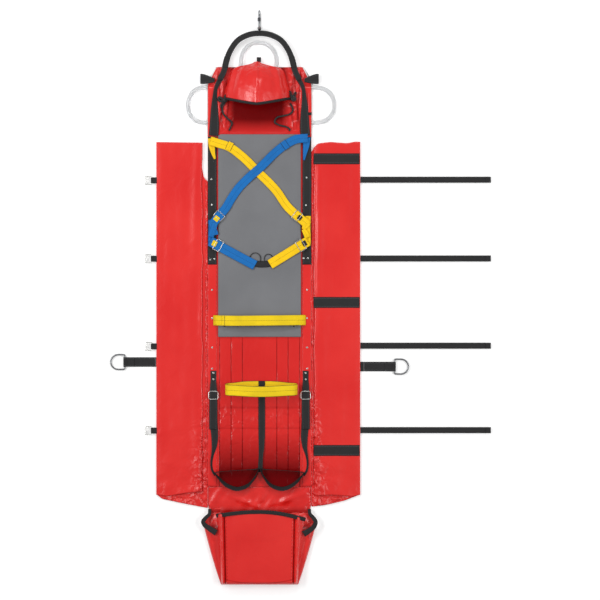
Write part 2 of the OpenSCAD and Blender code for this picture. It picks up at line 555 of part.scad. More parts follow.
module bag_pocket() color("#D9211D") difference() {
    plate(both(pocket_pts), bag_h, 20);
    plate(both([for (p = pocket_pts) [p[0] - 3, p[1] + (p[1] < bag_y - 280 ? 3 : 0)]]), bag_h + 2, 15);
    box([-143, bag_y - 24, bag_h + 2], [143, bag_y - 10, bag_h + 17]);
}

back_sheet();
slat_cover();
spine_board();
side_slats();
foam_mat();
edge_strips();
side_webbing();
rivets();
hood_shell();
hood_trim();
hood_cord_left();
hood_cord_right();
cord_lock_body();
cord_lock_button();
shoulder_webs();
side_loops();
sling();
carabiner_frame();
carabiner_gate();
carabiner_sleeve();
handle_head();
handle_left();
handle_right();
left_wing();
right_wing();
wing_bands();
closure_strap_1();
closure_strap_2();
closure_strap_3();
closure_strap_4();
buckle_tabs();
buckle_1();
buckle_2();
buckle_3();
buckle_4();
lift_straps();
lift_tail_left();
lift_tail_right();
lift_ring_left();
lift_ring_right();
shoulder_strap_yellow();
shoulder_strap_blue();
leg_strap_blue();
leg_strap_yellow();
harness_anchor_left();
harness_anchor_right();
slider_shoulder_left();
slider_shoulder_right();
slider_leg_left();
slider_leg_right();
crotch_links();
thigh_strap();
knee_strap();
centre_strap();
foot_loops();
foot_side_straps();
foot_buckles();
foot_flap();
bag_shell();
bag_pocket();
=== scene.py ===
import math
import bpy
import bmesh
import numpy as np
from mathutils import Matrix


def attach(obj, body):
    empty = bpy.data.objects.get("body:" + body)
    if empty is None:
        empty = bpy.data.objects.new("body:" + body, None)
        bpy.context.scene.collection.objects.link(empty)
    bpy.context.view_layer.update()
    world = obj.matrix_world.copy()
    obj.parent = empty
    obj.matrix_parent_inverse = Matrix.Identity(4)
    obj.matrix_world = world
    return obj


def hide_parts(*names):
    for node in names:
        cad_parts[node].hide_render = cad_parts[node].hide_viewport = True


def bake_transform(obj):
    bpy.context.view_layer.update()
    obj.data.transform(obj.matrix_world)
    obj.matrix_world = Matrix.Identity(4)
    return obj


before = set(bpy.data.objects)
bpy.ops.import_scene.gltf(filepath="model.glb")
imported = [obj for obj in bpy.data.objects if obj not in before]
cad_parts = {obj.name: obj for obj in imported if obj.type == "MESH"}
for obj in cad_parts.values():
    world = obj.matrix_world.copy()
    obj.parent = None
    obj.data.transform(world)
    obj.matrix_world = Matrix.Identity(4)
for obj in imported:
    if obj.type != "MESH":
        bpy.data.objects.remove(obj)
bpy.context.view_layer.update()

MM = 0.001  # sizes and places below are in millimetres, meshes in metres
ROOM_LIGHT = 0.34  # strength of the even light from all round, and of the paper's own glow
FLOOR_HALF, FLOOR_Z = 9, -0.001  # the paper, in metres, just below the underside

# Camera, floor and light: the stretcher lies flat on a pale studio floor and is seen from
# straight above, head end up. Soft boxes stand at the sides, so that the coated sheet shines softly.
def linear(code):
    """sRGB hex to linear RGBA: c / 12.92 below 0.04045, else ((c + 0.055) / 1.055) ^ 2.4."""
    c = np.array([int(code[i:i + 2], 16) for i in (1, 3, 5)]) / 255
    return (*np.where(c <= 0.04045, c / 12.92, ((c + 0.055) / 1.055) ** 2.4), 1.0)


def add(tree, kind, links=(), **settings):
    """Adds one node and sets its named properties, then its inputs by name or number. An input takes a
    value, a socket, or a node, whose first output in use it is linked to."""
    node = tree.nodes.new(kind)
    for key, value in settings.items():
        setattr(node, key, value)
    for slot, value in links:
        if isinstance(slot, str):
            slot = next(k for k, s in enumerate(node.inputs) if s.enabled and s.name == slot)
        if isinstance(value, bpy.types.Node):
            value = next(s for s in value.outputs if s.enabled)
        if isinstance(value, bpy.types.NodeSocket):
            tree.links.new(value, node.inputs[slot])
        else:
            node.inputs[slot].default_value = value
    return node


def noise(tree, at, scale, detail):
    """Cloudy noise over the piece's own coordinates."""
    return add(tree, "ShaderNodeTexNoise",
               [("Vector", at.outputs["Object"]), ("Scale", scale), ("Detail", detail)])


def threads(tree, at, scale, way):
    """Parallel threads across the X or the Y axis."""
    return add(tree, "ShaderNodeTexWave", [("Vector", at.outputs["Object"]), ("Scale", scale)],
               bands_direction=way)


def mixed(tree, factor, first, second):
    """The first colour where the factor is 0, the second where it is 1."""
    return add(tree, "ShaderNodeMix", [("Factor", factor), ("A", first), ("B", second)], data_type="RGBA")


camera = bpy.data.objects.new("studio_camera", bpy.data.cameras.new("studio_camera"))
camera.data.lens, camera.data.sensor_width, camera.data.clip_end = 85, 36, 60
camera.location = (0.1858, -0.1058, 6.52)
bpy.context.scene.collection.objects.link(camera)
bpy.context.scene.camera = camera
bpy.context.scene.view_settings.view_transform = "Standard"

floor = bpy.data.objects.new("studio_floor", bpy.data.meshes.new("studio_floor"))
floor.data.from_pydata([(x * FLOOR_HALF, y * FLOOR_HALF, FLOOR_Z) for x,
                        y in ((-1, -1), (1, -1), (1, 1), (-1, 1))],
                       [], [(0, 1, 2, 3)])
bpy.context.scene.collection.objects.link(floor)
paper = bpy.data.materials.new("studio_paper_matt")
paper.use_nodes = True
tree = paper.node_tree
tree.nodes.clear()
ray = add(tree, "ShaderNodeLightPath")
seen = add(tree, "ShaderNodeMath", [(0, ray.outputs["Is Camera Ray"]), (1, ray.outputs["Is Glossy Ray"])],
           operation="MAXIMUM")
seen = add(tree, "ShaderNodeMath", [(0, seen.outputs[0]), (1, ray.outputs["Is Transmission Ray"])],
           operation="MAXIMUM")
lift = add(tree, "ShaderNodeMath", [(0, seen.outputs[0]), (1, ROOM_LIGHT)], operation="MULTIPLY")
white = add(tree, "ShaderNodeEmission", [("Color", (1, 1, 1, 1)), ("Strength", lift.outputs[0])])
matt = add(tree, "ShaderNodeBsdfDiffuse", [("Color", (0.82, 0.82, 0.82, 1))])
both = add(tree, "ShaderNodeAddShader", [(0, white.outputs[0]), (1, matt.outputs[0])])
add(tree, "ShaderNodeOutputMaterial", [("Surface", both.outputs[0])])
floor.data.materials.append(paper)

world = bpy.data.worlds.new("studio_air")
bpy.context.scene.world = world
world.use_nodes = True
tree = world.node_tree
tree.nodes.clear()
ray = add(tree, "ShaderNodeLightPath")
soft = add(tree, "ShaderNodeBackground", [("Color", (1, 1, 1, 1)), ("Strength", ROOM_LIGHT)])
clear = add(tree, "ShaderNodeBackground", [("Color", (1, 1, 1, 1)), ("Strength", 1.0)])
pick = add(tree, "ShaderNodeMixShader",
           [(0, ray.outputs["Is Camera Ray"]), (1, soft.outputs[0]), (2, clear.outputs[0])])
add(tree, "ShaderNodeOutputWorld", [("Surface", pick.outputs[0])])


def soft_box(name, place, aim, size, power):
    lamp = bpy.data.objects.new(name, bpy.data.lights.new(name, "AREA"))
    lamp.data.shape, lamp.data.size, lamp.data.size_y, lamp.data.energy = "RECTANGLE", size[0], size[1], power
    z = np.array(place, float) - np.array(aim, float)
    z /= np.linalg.norm(z)
    x = np.cross((0, 1, 0.001), z)
    x /= np.linalg.norm(x)
    lamp.matrix_world = Matrix(np.vstack([np.column_stack([x, np.cross(z, x), z, place]),
                                          (0, 0, 0, 1)]).tolist())
    bpy.context.scene.collection.objects.link(lamp)


soft_box("box_left", (-3.0, 0.6, 3.2), (0, 0, 0), (1.1, 3.4), 98)
soft_box("box_right", (3.2, -0.4, 3.4), (0, 0, 0), (1.1, 3.4), 74)
soft_box("box_head", (0.2, 3.4, 3.4), (0, 0.3, 0), (2.8, 0.9), 50)

# Hood cords: black braided elastic, 8 mm thick, that draws the hood's front together. One runs from
# each front corner in loose bends over the red sheet to the head edge of the mat.
def follow(points, step):
    """Cubic Hermite curve through rows of numbers; a point's slope is the rise between its neighbours
    over their distance. Returns rows at most step apart along the first three columns (mm in, mm out)."""
    p = np.array(points, float)
    d = np.maximum(np.linalg.norm(np.diff(p[:, :3], axis=0), axis=1), 1e-6)
    t = np.concatenate([[0], np.cumsum(d)])
    m = np.gradient(p, t, axis=0)
    s = np.linspace(0, t[-1], max(int(t[-1] / step), 2) + 1)
    k = np.clip(np.searchsorted(t, s, side="right") - 1, 0, len(d) - 1)
    h = d[k][:, None]
    q = ((s - t[k]) / d[k])[:, None]
    return ((2 * q**3 - 3 * q**2 + 1) * p[k] + (q**3 - 2 * q**2 + q) * h * m[k]
            + (-2 * q**3 + 3 * q**2) * p[k + 1] + (q**3 - q**2) * h * m[k + 1])


def mesh_of(name, grids, flat=False):
    """One object from point grids in mm. Each entry is (points[i, j], uv[i, j] or None, round_i, round_j,
    capped): quads join neighbours, round_ joins the last row to the first, capped closes both ends of i."""
    verts, faces, coords, start = [], [], [], 0
    for P, uv, ri, rj, capped in grids:
        P = np.asarray(P, float)
        n, m = P.shape[:2]
        i, j = np.meshgrid(np.arange(n if ri else n - 1), np.arange(m if rj else m - 1), indexing="ij")
        i, j = i.ravel(), j.ravel()
        f = np.stack([i * m + j, (i + 1) % n * m + j, (i + 1) % n * m + (j + 1) % m, i * m + (j + 1) % m], 1)
        faces += (f + start).tolist()
        if capped:
            faces += [(np.arange(m) + start).tolist(), (np.arange(m)[::-1] + (n - 1) * m + start).tolist()]
        verts.append(P.reshape(-1, 3))
        if uv is None:
            uv = np.stack(np.meshgrid(np.linspace(0, 1, m), np.linspace(0, 1, n)), -1)
        coords.append(np.asarray(uv, float).reshape(-1, 2))
        start += n * m
    verts, coords = np.concatenate(verts) * MM, np.concatenate(coords)
    mesh = bpy.data.meshes.new(name)
    mesh.from_pydata(verts.tolist(), [], faces)
    corner = np.zeros(len(mesh.loops), np.int32)
    mesh.loops.foreach_get("vertex_index", corner)
    mesh.uv_layers.new(name="UVMap").data.foreach_set("uv", coords[corner].astype(np.float32).ravel())
    mesh.polygons.foreach_set("use_smooth", np.full(len(mesh.polygons), not flat))
    obj = bpy.data.objects.new(name, mesh)
    bpy.context.scene.collection.objects.link(obj)
    return obj


def outward(obj):
    """Turns a closed piece's faces to point outwards."""
    bm = bmesh.new()
    bm.from_mesh(obj.data)
    bmesh.ops.recalc_face_normals(bm, faces=bm.faces)
    bm.to_mesh(obj.data)
    bm.free()
    return obj


def round_bar(points, radius, sides=12, closed=False, step=None):
    """A round bar along a path: at each point two arms square to the path, the first kept level where it
    can be, carry a circle; radius is one number or one per point. Returns a grid for mesh_of."""
    p = np.array(points, float) if step is None else follow(points, step)
    c = p[:, :3]
    t = np.roll(c, -1, 0) - np.roll(c, 1, 0) if closed else np.gradient(c, axis=0)
    t /= np.linalg.norm(t, axis=1)[:, None]
    a = np.zeros_like(t)
    a[0] = np.cross((0, 0, 1), t[0]) if abs(t[0, 2]) < 0.9 else np.cross((1, 0, 0), t[0])
    for k in range(1, len(t)):
        a[k] = a[k - 1] - np.dot(a[k - 1], t[k]) * t[k]
    a /= np.linalg.norm(a, axis=1)[:, None]
    b = np.cross(t, a)
    w = np.linspace(0, 2 * math.pi, sides, endpoint=False)
    r = np.broadcast_to(radius, len(c))[:, None, None]
    P = c[:, None] + r * (np.cos(w)[None, :, None] * a[:, None] + np.sin(w)[None, :, None] * b[:, None])
    s = np.concatenate([[0], np.cumsum(np.linalg.norm(np.diff(c, axis=0), axis=1))])
    uv = np.stack(np.broadcast_arrays(np.linspace(0, 1, sides)[None], s[:, None] * MM), -1)
    return P, uv, closed, True, not closed


def finish_piece(obj, material, body, nodes=()):
    """Gives a piece its material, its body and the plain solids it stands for."""
    obj.data.materials.clear()
    obj.data.materials.append(material)
    if body:
        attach(obj, body)
    if nodes:
        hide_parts(*nodes)
    return obj


def principled(name):
    m = bpy.data.materials.new(name)
    m.use_nodes = True
    m.node_tree.nodes.clear()
    shader = add(m.node_tree, "ShaderNodeBsdfPrincipled")
    add(m.node_tree, "ShaderNodeOutputMaterial", [("Surface", shader.outputs[0])])
    return m, m.node_tree, shader


# Braided polyester over rubber: crossed strands 1.5 mm wide give a soft, slightly shining black.
braid, tree, shader = principled("braided_elastic_black")
uv = add(tree, "ShaderNodeUVMap", uv_map="UVMap")
part = add(tree, "ShaderNodeSeparateXYZ", [(0, uv.outputs[0])])
turn = add(tree, "ShaderNodeMath", [(0, part.outputs["X"]), (1, 37.7)], operation="MULTIPLY")
along = add(tree, "ShaderNodeMath", [(0, part.outputs["Y"]), (1, 1400.0)], operation="MULTIPLY")
plus = add(tree, "ShaderNodeMath", [(0, turn.outputs[0]), (1, along.outputs[0])], operation="ADD")
minus = add(tree, "ShaderNodeMath", [(0, turn.outputs[0]), (1, along.outputs[0])], operation="SUBTRACT")
one = add(tree, "ShaderNodeMath", [(0, plus.outputs[0])], operation="SINE")
two = add(tree, "ShaderNodeMath", [(0, minus.outputs[0])], operation="SINE")
cross = add(tree, "ShaderNodeMath", [(0, one.outputs[0]), (1, two.outputs[0])], operation="MULTIPLY")
bump = add(tree, "ShaderNodeBump", [("Height", cross.outputs[0]), ("Strength", 0.5), ("Distance", 0.0006)])
tone = add(tree, "ShaderNodeMapRange", [("Value", cross.outputs[0]), ("From Min", -1.0)])
ramp = mixed(tree, tone.outputs[0], linear("#141414"), linear("#2A2A2B"))
tree.links.new(ramp.outputs[2], shader.inputs["Base Color"])
tree.links.new(bump.outputs[0], shader.inputs["Normal"])
shader.inputs["Roughness"].default_value = 0.62

CORD_LEFT = [(-158, 800, 14), (-166, 790, 14), (-171, 773, 14), (-166, 750, 14), (-146, 727, 14),
             (-126, 705, 14), (-134, 686, 14), (-140, 672, 14)]
CORD_RIGHT = [(140, 797, 14), (150, 782, 14), (153, 765, 14), (142, 750, 14), (110, 740, 14), (79, 731, 14),
              (69, 712, 14), (92, 697, 14), (125, 688, 14), (138, 679, 14), (137, 670, 14)]
for side, route in (("left", CORD_LEFT), ("right", CORD_RIGHT)):
    line = follow(route, 4)
    cord = outward(mesh_of("hood_cord_" + side + "_braid", [round_bar(line, 4.0, 10)]))
    finish_piece(cord, braid, None, ["hood_cord_" + side])
    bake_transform(cord)

# Coated sheet: polyester cloth with a flexible PVC coat, calendered smooth. It shines softly, shows the
# grid of its base cloth, and takes sharp glossy creases where it is crumpled.
def coated(name, code, worn, rough=0.33):
    m, tree, shader = principled(name)
    at = add(tree, "ShaderNodeTexCoord")
    cloud = noise(tree, at, 3.2, 3.0)
    tone = add(tree, "ShaderNodeMapRange",
               [("Value", cloud.outputs[0]), ("From Min", 0.35), ("From Max", 0.68)])
    mix = mixed(tree, tone.outputs[0], linear(code), linear(worn))
    # painted shade: where the inner value rises, the colour goes to a dark red and the coat and gloss drop.
    # It stands for shade in the foot pocket, under the hood, in folds, along seams and in the bag's mouth; on
    # the bag's front panel it also draws stitch lines
    inner = add(tree, "ShaderNodeAttribute", attribute_name="inner")
    painted_shade_colour = mixed(tree, inner.outputs["Fac"], mix.outputs[2], linear("#6A0205"))
    tree.links.new(painted_shade_colour.outputs[2], shader.inputs["Base Color"])
    shine = add(tree, "ShaderNodeMath", [(0, inner.outputs["Fac"]), (1, -0.3), (2, 0.3)],
                operation="MULTIPLY_ADD")
    # base cloth threads 1.6 mm apart both ways
    rows = threads(tree, at, 196.0, "X")
    cols = threads(tree, at, 196.0, "Y")
    cloth = add(tree, "ShaderNodeMath", [(0, rows.outputs["Fac"]), (1, cols.outputs["Fac"])], operation="ADD")
    fine = add(tree, "ShaderNodeBump",
               [("Height", cloth.outputs[0]), ("Strength", 0.10), ("Distance", 0.0002)])
    dent = add(tree, "ShaderNodeTexNoise", [("Vector", at.outputs["Object"]), ("Scale", 9.0), ("Detail", 4.0),
                                            ("Distortion", 0.6)])
    soft = add(tree, "ShaderNodeBump", [("Height", dent.outputs[0]), ("Strength", 0.22), ("Distance", 0.02),
                                        ("Normal", fine.outputs[0])])
    # creases: the walls between cells 35 mm across, as deep as the crumple value says
    bend = noise(tree, at, 14.0, 2.0)
    warp = add(tree, "ShaderNodeVectorMath", [(0, bend.outputs["Color"]), ("Scale", 0.07)], operation="SCALE")
    place = add(tree, "ShaderNodeVectorMath", [(0, at.outputs["Object"]), (1, warp.outputs[0])],
                operation="ADD")
    cells = add(tree, "ShaderNodeTexVoronoi", [("Vector", place.outputs[0]), ("Scale", 22.0)],
                feature="DISTANCE_TO_EDGE")
    wall = add(tree, "ShaderNodeMapRange", [("Value", cells.outputs["Distance"]), ("From Max", 0.32)])
    crush = add(tree, "ShaderNodeAttribute", attribute_name="crumple")
    deep = add(tree, "ShaderNodeMath", [(0, wall.outputs[0]), (1, crush.outputs["Fac"])],
               operation="MULTIPLY")
    sharp = add(tree, "ShaderNodeBump", [("Height", deep.outputs[0]), ("Strength", 1.0), ("Distance", 0.006),
                                         ("Normal", soft.outputs[0])])
    tree.links.new(sharp.outputs[0], shader.inputs["Normal"])
    shader.inputs["Roughness"].default_value = rough
    gloss = add(tree, "ShaderNodeMath", [(0, inner.outputs["Fac"]), (1, -0.42), (2, 0.5)],
                operation="MULTIPLY_ADD")
    tree.links.new(gloss.outputs[0], shader.inputs["Specular IOR Level"])
    tree.links.new(shine.outputs[0], shader.inputs["Coat Weight"])
    shader.inputs["Coat Roughness"].default_value = 0.16
    return m


RED = coated("pvc_coated_polyester_red", "#DE1815", "#E82822")
# a slightly darker, glossier copy of the red sheet: painted shade, used on the channel cover and the hinge
# tucks
RED_SHADED = coated("pvc_coated_polyester_red_shaded", "#D61410", "#E0201B", 0.28)


def ripple(x, y, seed, size, terms=9):
    """Smooth uneven waves: the mean of sines in seeded directions, size / 2 to 2 size mm long."""
    rng = np.random.default_rng(seed)
    total = 0
    for _ in range(terms):
        a, l, f = rng.uniform(0, 2 * math.pi), size * 2 ** rng.uniform(-1, 1), rng.uniform(0, 2 * math.pi)
        total = total + np.sin(2 * math.pi * (x * math.cos(a) + y * math.sin(a)) / l + f)
    return total / math.sqrt(terms)


def bell(x, middle, half):
    """exp(-((x - middle) / half)^2)."""
    return np.exp(-((x - middle) / half) ** 2)


def mark(obj, name, values):
    """Stores one number a point: crumple, 0 smooth to 1 crushed, or inner, 0 none to 1 full dark red with
    less gloss (painted shade; on the bag's front panel also its stitch lines).
    """
    obj.data.attributes.new(name, "FLOAT", "POINT").data.foreach_set("value",
                                                                     np.asarray(values, np.float32).ravel())


def slab(name, X, Y, top, low, material, body, nodes, crush=None, inner=None):
    """A closed slab: a grid of tops, and the same grid flat at the low height, joined round the rim."""
    n, m = X.shape
    T = np.stack([X, Y, top], -1)
    L = np.stack([X, Y, np.broadcast_to(low, X.shape)], -1)
    P = np.concatenate([T, L[:, ::-1]], 1)
    obj = outward(mesh_of(name, [(P, None, False, True, True)]))
    for key, values in (("crumple", crush), ("inner", inner)):
        if values is not None:
            mark(obj, key, np.concatenate([values, values[:, ::-1]], 1))
    return finish_piece(obj, material, body, nodes)


def body_half(y):
    """Half width of the sheet: 238, cut off at the head corners from 78 below the end to 198 wide."""
    return np.where(y > 887, 238 - (y - 887) * 40 / 78, 238)


# Back sheet: the coated underside that slides over the ground, with a pale lining edge at the head sides.
v, u = np.meshgrid(np.linspace(0, 1, 120), np.linspace(-1, 1, 40))
Y = -966 + v * 1931
underside = slab("back_sheet_skin", u * body_half(Y), Y, 2 + 0 * u, 0.0, RED, "base", ["back_sheet"])
lining, tree, shader = principled("pvc_coated_polyester_white")
at = add(tree, "ShaderNodeTexCoord")
cloud = noise(tree, at, 12.0, 4.0)
mix = mixed(tree, cloud.outputs[0], linear("#DADADA"), linear("#F4F4F2"))
tree.links.new(mix.outputs[2], shader.inputs["Base Color"])
shader.inputs["Roughness"].default_value = 0.4
for s in (-1, 1):
    v, u = np.meshgrid(np.linspace(0, 1, 90), np.linspace(0, 1, 5))
    Y = 648 + v * 318
    half = body_half(Y)
    wide = 3.5 + 4.5 * bell(Y, 925, 45) + 1.5 * bell(Y, 800, 90) + 0.8 * ripple(Y, 0 * Y, 5, 60)
    slab("head_lining_" + "lr"[s > 0], s * (half - 2 + u * (wide + 2)), Y, 3.4 + 0 * u, 0.6, lining, "base",
         ())

# Channel cover: a second coated sheet stitched down in long lines, so that the boards slide in between.
# It swells between the seams, dips at two cross creases and gathers in long folds at the head sides.
SEAMS = [-184, -131, -79, 79, 131, 184]
stations = [np.linspace(-237.5, 237.5, 92)] + [x + np.array([-5, -2.2, -0.9, 0, 0.9, 2.2, 5]) for x in SEAMS]
v, u = np.meshgrid(np.linspace(0, 1, 330), np.sort(np.concatenate(stations)) / 237.5)
Y = -965.5 + v * 1930
X = u * (body_half(Y) - 0.5)
edges = np.array([-215] + SEAMS + [215])
k = np.clip(np.searchsorted(edges, X) - 1, 0, len(edges) - 2)
q = np.clip((X - edges[k]) / (edges[k + 1] - edges[k]), 0, 1)
low_part = np.clip((-250 - Y) / 60, 0, 1)
high_part = np.clip((Y - 655) / 30, 0, 1)
swell = 1.5 * (1 - (2 * q - 1) ** 4) * low_part
seam = sum(bell(X, x, 1.3) for x in SEAMS) * low_part
fold = (bell(Y, -600, 4) + bell(Y, -695, 4)) * (abs(X) < 186)
pleat = sum(a * bell(X, s * (c + 6 * np.sin(Y / 47 + c)), 5.5) for s in (-1, 1)
            for c, a in ((120, 2.4), (142, 3.2), (160, 4.2), (175, 5.5),
                         (190, 4.2))) * np.clip((Y - 660) / 60, 0, 1)
uneven = 0.35 * ripple(X, Y, 3, 70) + 0.35 * ripple(X, Y * 0.4, 8, 26)
top = 6.9 + swell + pleat - 0.9 * fold + (high_part + low_part) * uneven
roof = 8.8 + 2.6 * (abs(X) > 156) * (Y > 846) + 1.4 * bell(abs(X), 182, 9) * (Y > 690) * (Y < 860)
top = np.where((abs(X) < 196) & (Y > -283) & (Y < 663), 8.6, np.clip(top, 7.1, roof)) - 0.15 * seam
rim = np.clip((body_half(Y) - abs(X)) / 6, 0, 1)
top = 3 + (top - 3) * np.sqrt(rim)
crush = (0.05 + 0.3 * bell(Y, -640, 70) + 0.22 * bell(Y, -800, 120)
         + 0.45 * high_part * np.clip((abs(X) - 100) / 60, 0, 1))
# painted shade, carried in the inner value: dark red in the foot pocket inside the stirrup arcs, under the
# hood, in the long folds at the head sides, along the seams and in the two cross creases
arcs = -884 - 86 * np.sqrt(np.clip(1 - ((abs(X) - 104) / 101) ** 2, 0, 1))
foot_pocket_shade = np.clip((-715 - Y) / 190, 0, 1) * (abs(X) < 186) * np.clip((Y - arcs) / 4, 0, 1)
hood_shade = np.clip((Y - 655) / 70, 0, 1) * np.clip((150 - abs(X + 8)) / 40, 0, 1)
fold_shade = 0.7 * sum(bell(X, t * (c + 6 * np.sin(Y / 47 + c)), 4) for t in (-1, 1)
                    for c in (151, 168, 183)) * np.clip(
    (Y - 670) / 50, 0, 1) * np.clip((950 - Y) / 40, 0, 1)
# a dark line along each seam: painted shade
stitched = sum(bell(X, x, 1.7) for x in SEAMS) * low_part
inner = np.clip(1.0 * foot_pocket_shade + 0.95 * hood_shade + fold_shade + 0.85 * stitched + 0.25 * fold, 0, 1)
cover = slab("channel_cover_skin", X, Y, top, 2.0, RED_SHADED, "base", ["slat_cover"],
             np.clip(crush, 0, 1) * (low_part + high_part > 0.2) * rim, inner)

# Boards: one wide and four narrow beech-ply boards, varnished, that stiffen the back inside the channels.
ply, tree, shader = principled("varnished_beech_ply")
at = add(tree, "ShaderNodeTexCoord")
long = add(tree, "ShaderNodeMapping", [("Vector", at.outputs["Object"]), ("Scale", (60.0, 2.5, 60.0))])
grain = add(tree, "ShaderNodeTexNoise", [("Vector", long.outputs[0]), ("Scale", 3.0), ("Detail", 5.0)])
mix = mixed(tree, grain.outputs[0], linear("#B08A58"), linear("#DDBE8C"))
tree.links.new(mix.outputs[2], shader.inputs["Base Color"])
shader.inputs["Roughness"].default_value = 0.35


def dress(nodes, material):
    """Gives carried-over solids a better material; their shape stays."""
    for n in nodes:
        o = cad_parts[n]
        o.data.materials.clear()
        o.data.materials.append(material)


dress(["spine_board", "side_slats"], ply)

# Webbing: polyester or polyamide woven flat, 2.2 mm thick, with cross ribs 2 mm apart, firm selvedges and
# lock-stitched lines. It is dyed black, royal blue or signal yellow.
def woven(name, code, thread, stitches=(), rough=0.72):
    m, tree, shader = principled(name)
    uv = add(tree, "ShaderNodeUVMap", uv_map="UVMap")
    part = add(tree, "ShaderNodeSeparateXYZ", [(0, uv.outputs[0])])
    U, V = part.outputs["X"], part.outputs["Y"]

    def math_node(op, a, b=0.0):
        return add(tree, "ShaderNodeMath", [(0, a), (1, b)], operation=op).outputs[0]

    rib = math_node("SINE", math_node("MULTIPLY", V, 2 * math.pi / 0.0022))
    end = math_node("SINE", math_node("MULTIPLY", U, 2 * math.pi * 11))
    both = math_node("ADD", math_node("MULTIPLY", rib, 0.6), math_node("MULTIPLY", end, 0.4))
    side = math_node("ABSOLUTE", math_node("SUBTRACT", U, 0.5))
    edge = add(tree, "ShaderNodeMapRange",
               [("Value", side), ("From Min", 0.40), ("From Max", 0.5)]).outputs[0]
    at = add(tree, "ShaderNodeTexCoord")
    cloud = noise(tree, at, 16.0, 3.0)
    tone = math_node("ADD", math_node("MULTIPLY", both, 0.10), math_node("MULTIPLY", cloud.outputs[0], 0.36))
    tone = math_node("SUBTRACT", math_node("ADD", tone, 0.80), math_node("MULTIPLY", edge, 0.22))
    base = add(tree, "ShaderNodeMix", [("Factor", 1.0), ("A", linear(code)), ("B", (1, 1, 1, 1))],
               data_type="RGBA",
               blend_type="MULTIPLY")
    grey = add(tree, "ShaderNodeCombineColor", [(0, tone), (1, tone), (2, tone)])
    tree.links.new(grey.outputs[0], base.inputs[7])
    colour = base.outputs[2]
    if stitches:
        dash = math_node("LESS_THAN", math_node("FRACT", math_node("DIVIDE", V, 0.0075)), 0.72)
        line = None
        for x in stitches:
            here = math_node("LESS_THAN", math_node("ABSOLUTE", math_node("SUBTRACT", U, x)), 0.017)
            line = here if line is None else math_node("MAXIMUM", line, here)
        sewn = add(tree, "ShaderNodeMix",
                   [("Factor", math_node("MULTIPLY", dash, line)), ("B", linear(thread))],
                   data_type="RGBA")
        tree.links.new(colour, sewn.inputs[6])
        colour = sewn.outputs[2]
    tree.links.new(colour, shader.inputs["Base Color"])
    bump = add(tree, "ShaderNodeBump", [("Height", both), ("Strength", 0.45), ("Distance", 0.0005)])
    tree.links.new(bump.outputs[0], shader.inputs["Normal"])
    shader.inputs["Roughness"].default_value = rough
    shader.inputs["Specular IOR Level"].default_value = 0.35
    return m


BLACK = woven("polyester_webbing_black", "#222223", "#3E3E40")
BLACK_SEWN = woven("polyester_webbing_black_stitched", "#222223", "#4A4C4E", (0.14, 0.86))
BLUE = woven("polyester_webbing_blue", "#066CB8", "#084680", (0.5,))
YELLOW = woven("polyester_webbing_yellow", "#FFCF00", "#9A7600", (0.5,))
YELLOW_PALE = woven("polyester_webbing_lemon", "#F2D008", "#8E7800", (0.5,))


def closed_path(points, step):
    """The same curve as follow() through a ring of points, without the doubled last point."""
    p = [tuple(q) for q in points]
    ring = follow(p[-2:] + p + p[:3], step)
    a, b = np.array(p[0], float)[:3], len(p)
    near = np.linalg.norm(ring[:, :3] - a, axis=1)
    order = np.argsort(near)
    first = order[0]
    last = next(k for k in order if abs(k - first) > len(ring) // 3)
    return ring[min(first, last):max(first, last)]


def webbing(points, width, thick=2.2, step=7, across=None, centred=False, closed=False, sag=0.0, seed=1):
    """Flat strap: at each point of the path an arm across it, level or given, carries a thin section with
    rounded edges. Rows are (x, y, z), then width and twist in degrees if they change. Path is the underside,
    or the middle where centred. Returns a grid for mesh_of with uv = (share across, metres along)."""
    rows = [tuple(r) + (width, 0)[len(r) - 3:] for r in points]
    p = closed_path(rows, step) if closed else follow(rows, step)
    c = p[:, :3].copy()
    if sag:
        c[:, 2] += sag * (ripple(c[:, 0], c[:, 1], seed, 90) + 1)
    t = (np.roll(c, -1, 0) - np.roll(c, 1, 0)) if closed else np.gradient(c, axis=0)
    t /= np.linalg.norm(t, axis=1)[:, None]
    a = np.cross((0.0, 0.0, 1.0), t) if across is None else np.broadcast_to(np.array(across, float), t.shape)
    a = a - (a * t).sum(1)[:, None] * t
    a /= np.linalg.norm(a, axis=1)[:, None]
    n = np.cross(t, a)
    w = np.radians(p[:, 4])[:, None]
    a, n = a * np.cos(w) + n * np.sin(w), n * np.cos(w) - a * np.sin(w)
    off = np.array([1, 0.985, 0.93, 0.5, 0, -0.5, -0.93, -0.985, -1, -0.985, -0.93, -0.5, 0, 0.5, 0.93,
                    0.985])
    hi = np.array([0, 0.6, 0.9, 1, 1, 1, 0.9, 0.6, 0, -0.6, -0.9, -1, -1, -1, -0.9, -0.6]) * thick / 2
    mid = c if centred else c + n * thick / 2 * np.sign(n[:, 2:3] + 1e-9)
    P = mid[:, None] + a[:,
                         None] * (off[None, :, None] * p[:, 3][:, None, None]
                                  / 2) + n[:, None] * hi[None, :, None]
    s = np.concatenate([[0], np.cumsum(np.linalg.norm(np.diff(c, axis=0), axis=1))]) * MM
    uv = np.stack(np.broadcast_arrays(off[None] / 2 + 0.5, s[:, None]), -1)
    return P, uv, closed, True, not closed


def strap(name, grids, material, body, nodes=()):
    return finish_piece(outward(mesh_of(name, grids)), material, body, nodes)


# Edge strips and side webbing: a folded strip of coated sheet along each side, and a black reinforcing
# webbing sewn over it beside the mat.
for s in (-1, 1):
    n = "lr"[s > 0]
    strap("edge_strip_" + n,
          [webbing([(s * 217.5, y, 9.0) for y in (-964, -600, -200, 200, 600, 879)], 40.5, 2.0, 12)],
                  RED, "base", ["edge_strips"])
    strap("side_band_" + n,
          [webbing([(s * 217.5, y, 11.05) for y in (57, 200, 350, 500, 645)], 40.5, 2.3, 8)],
          BLACK_SEWN, "base", ["side_webbing"])

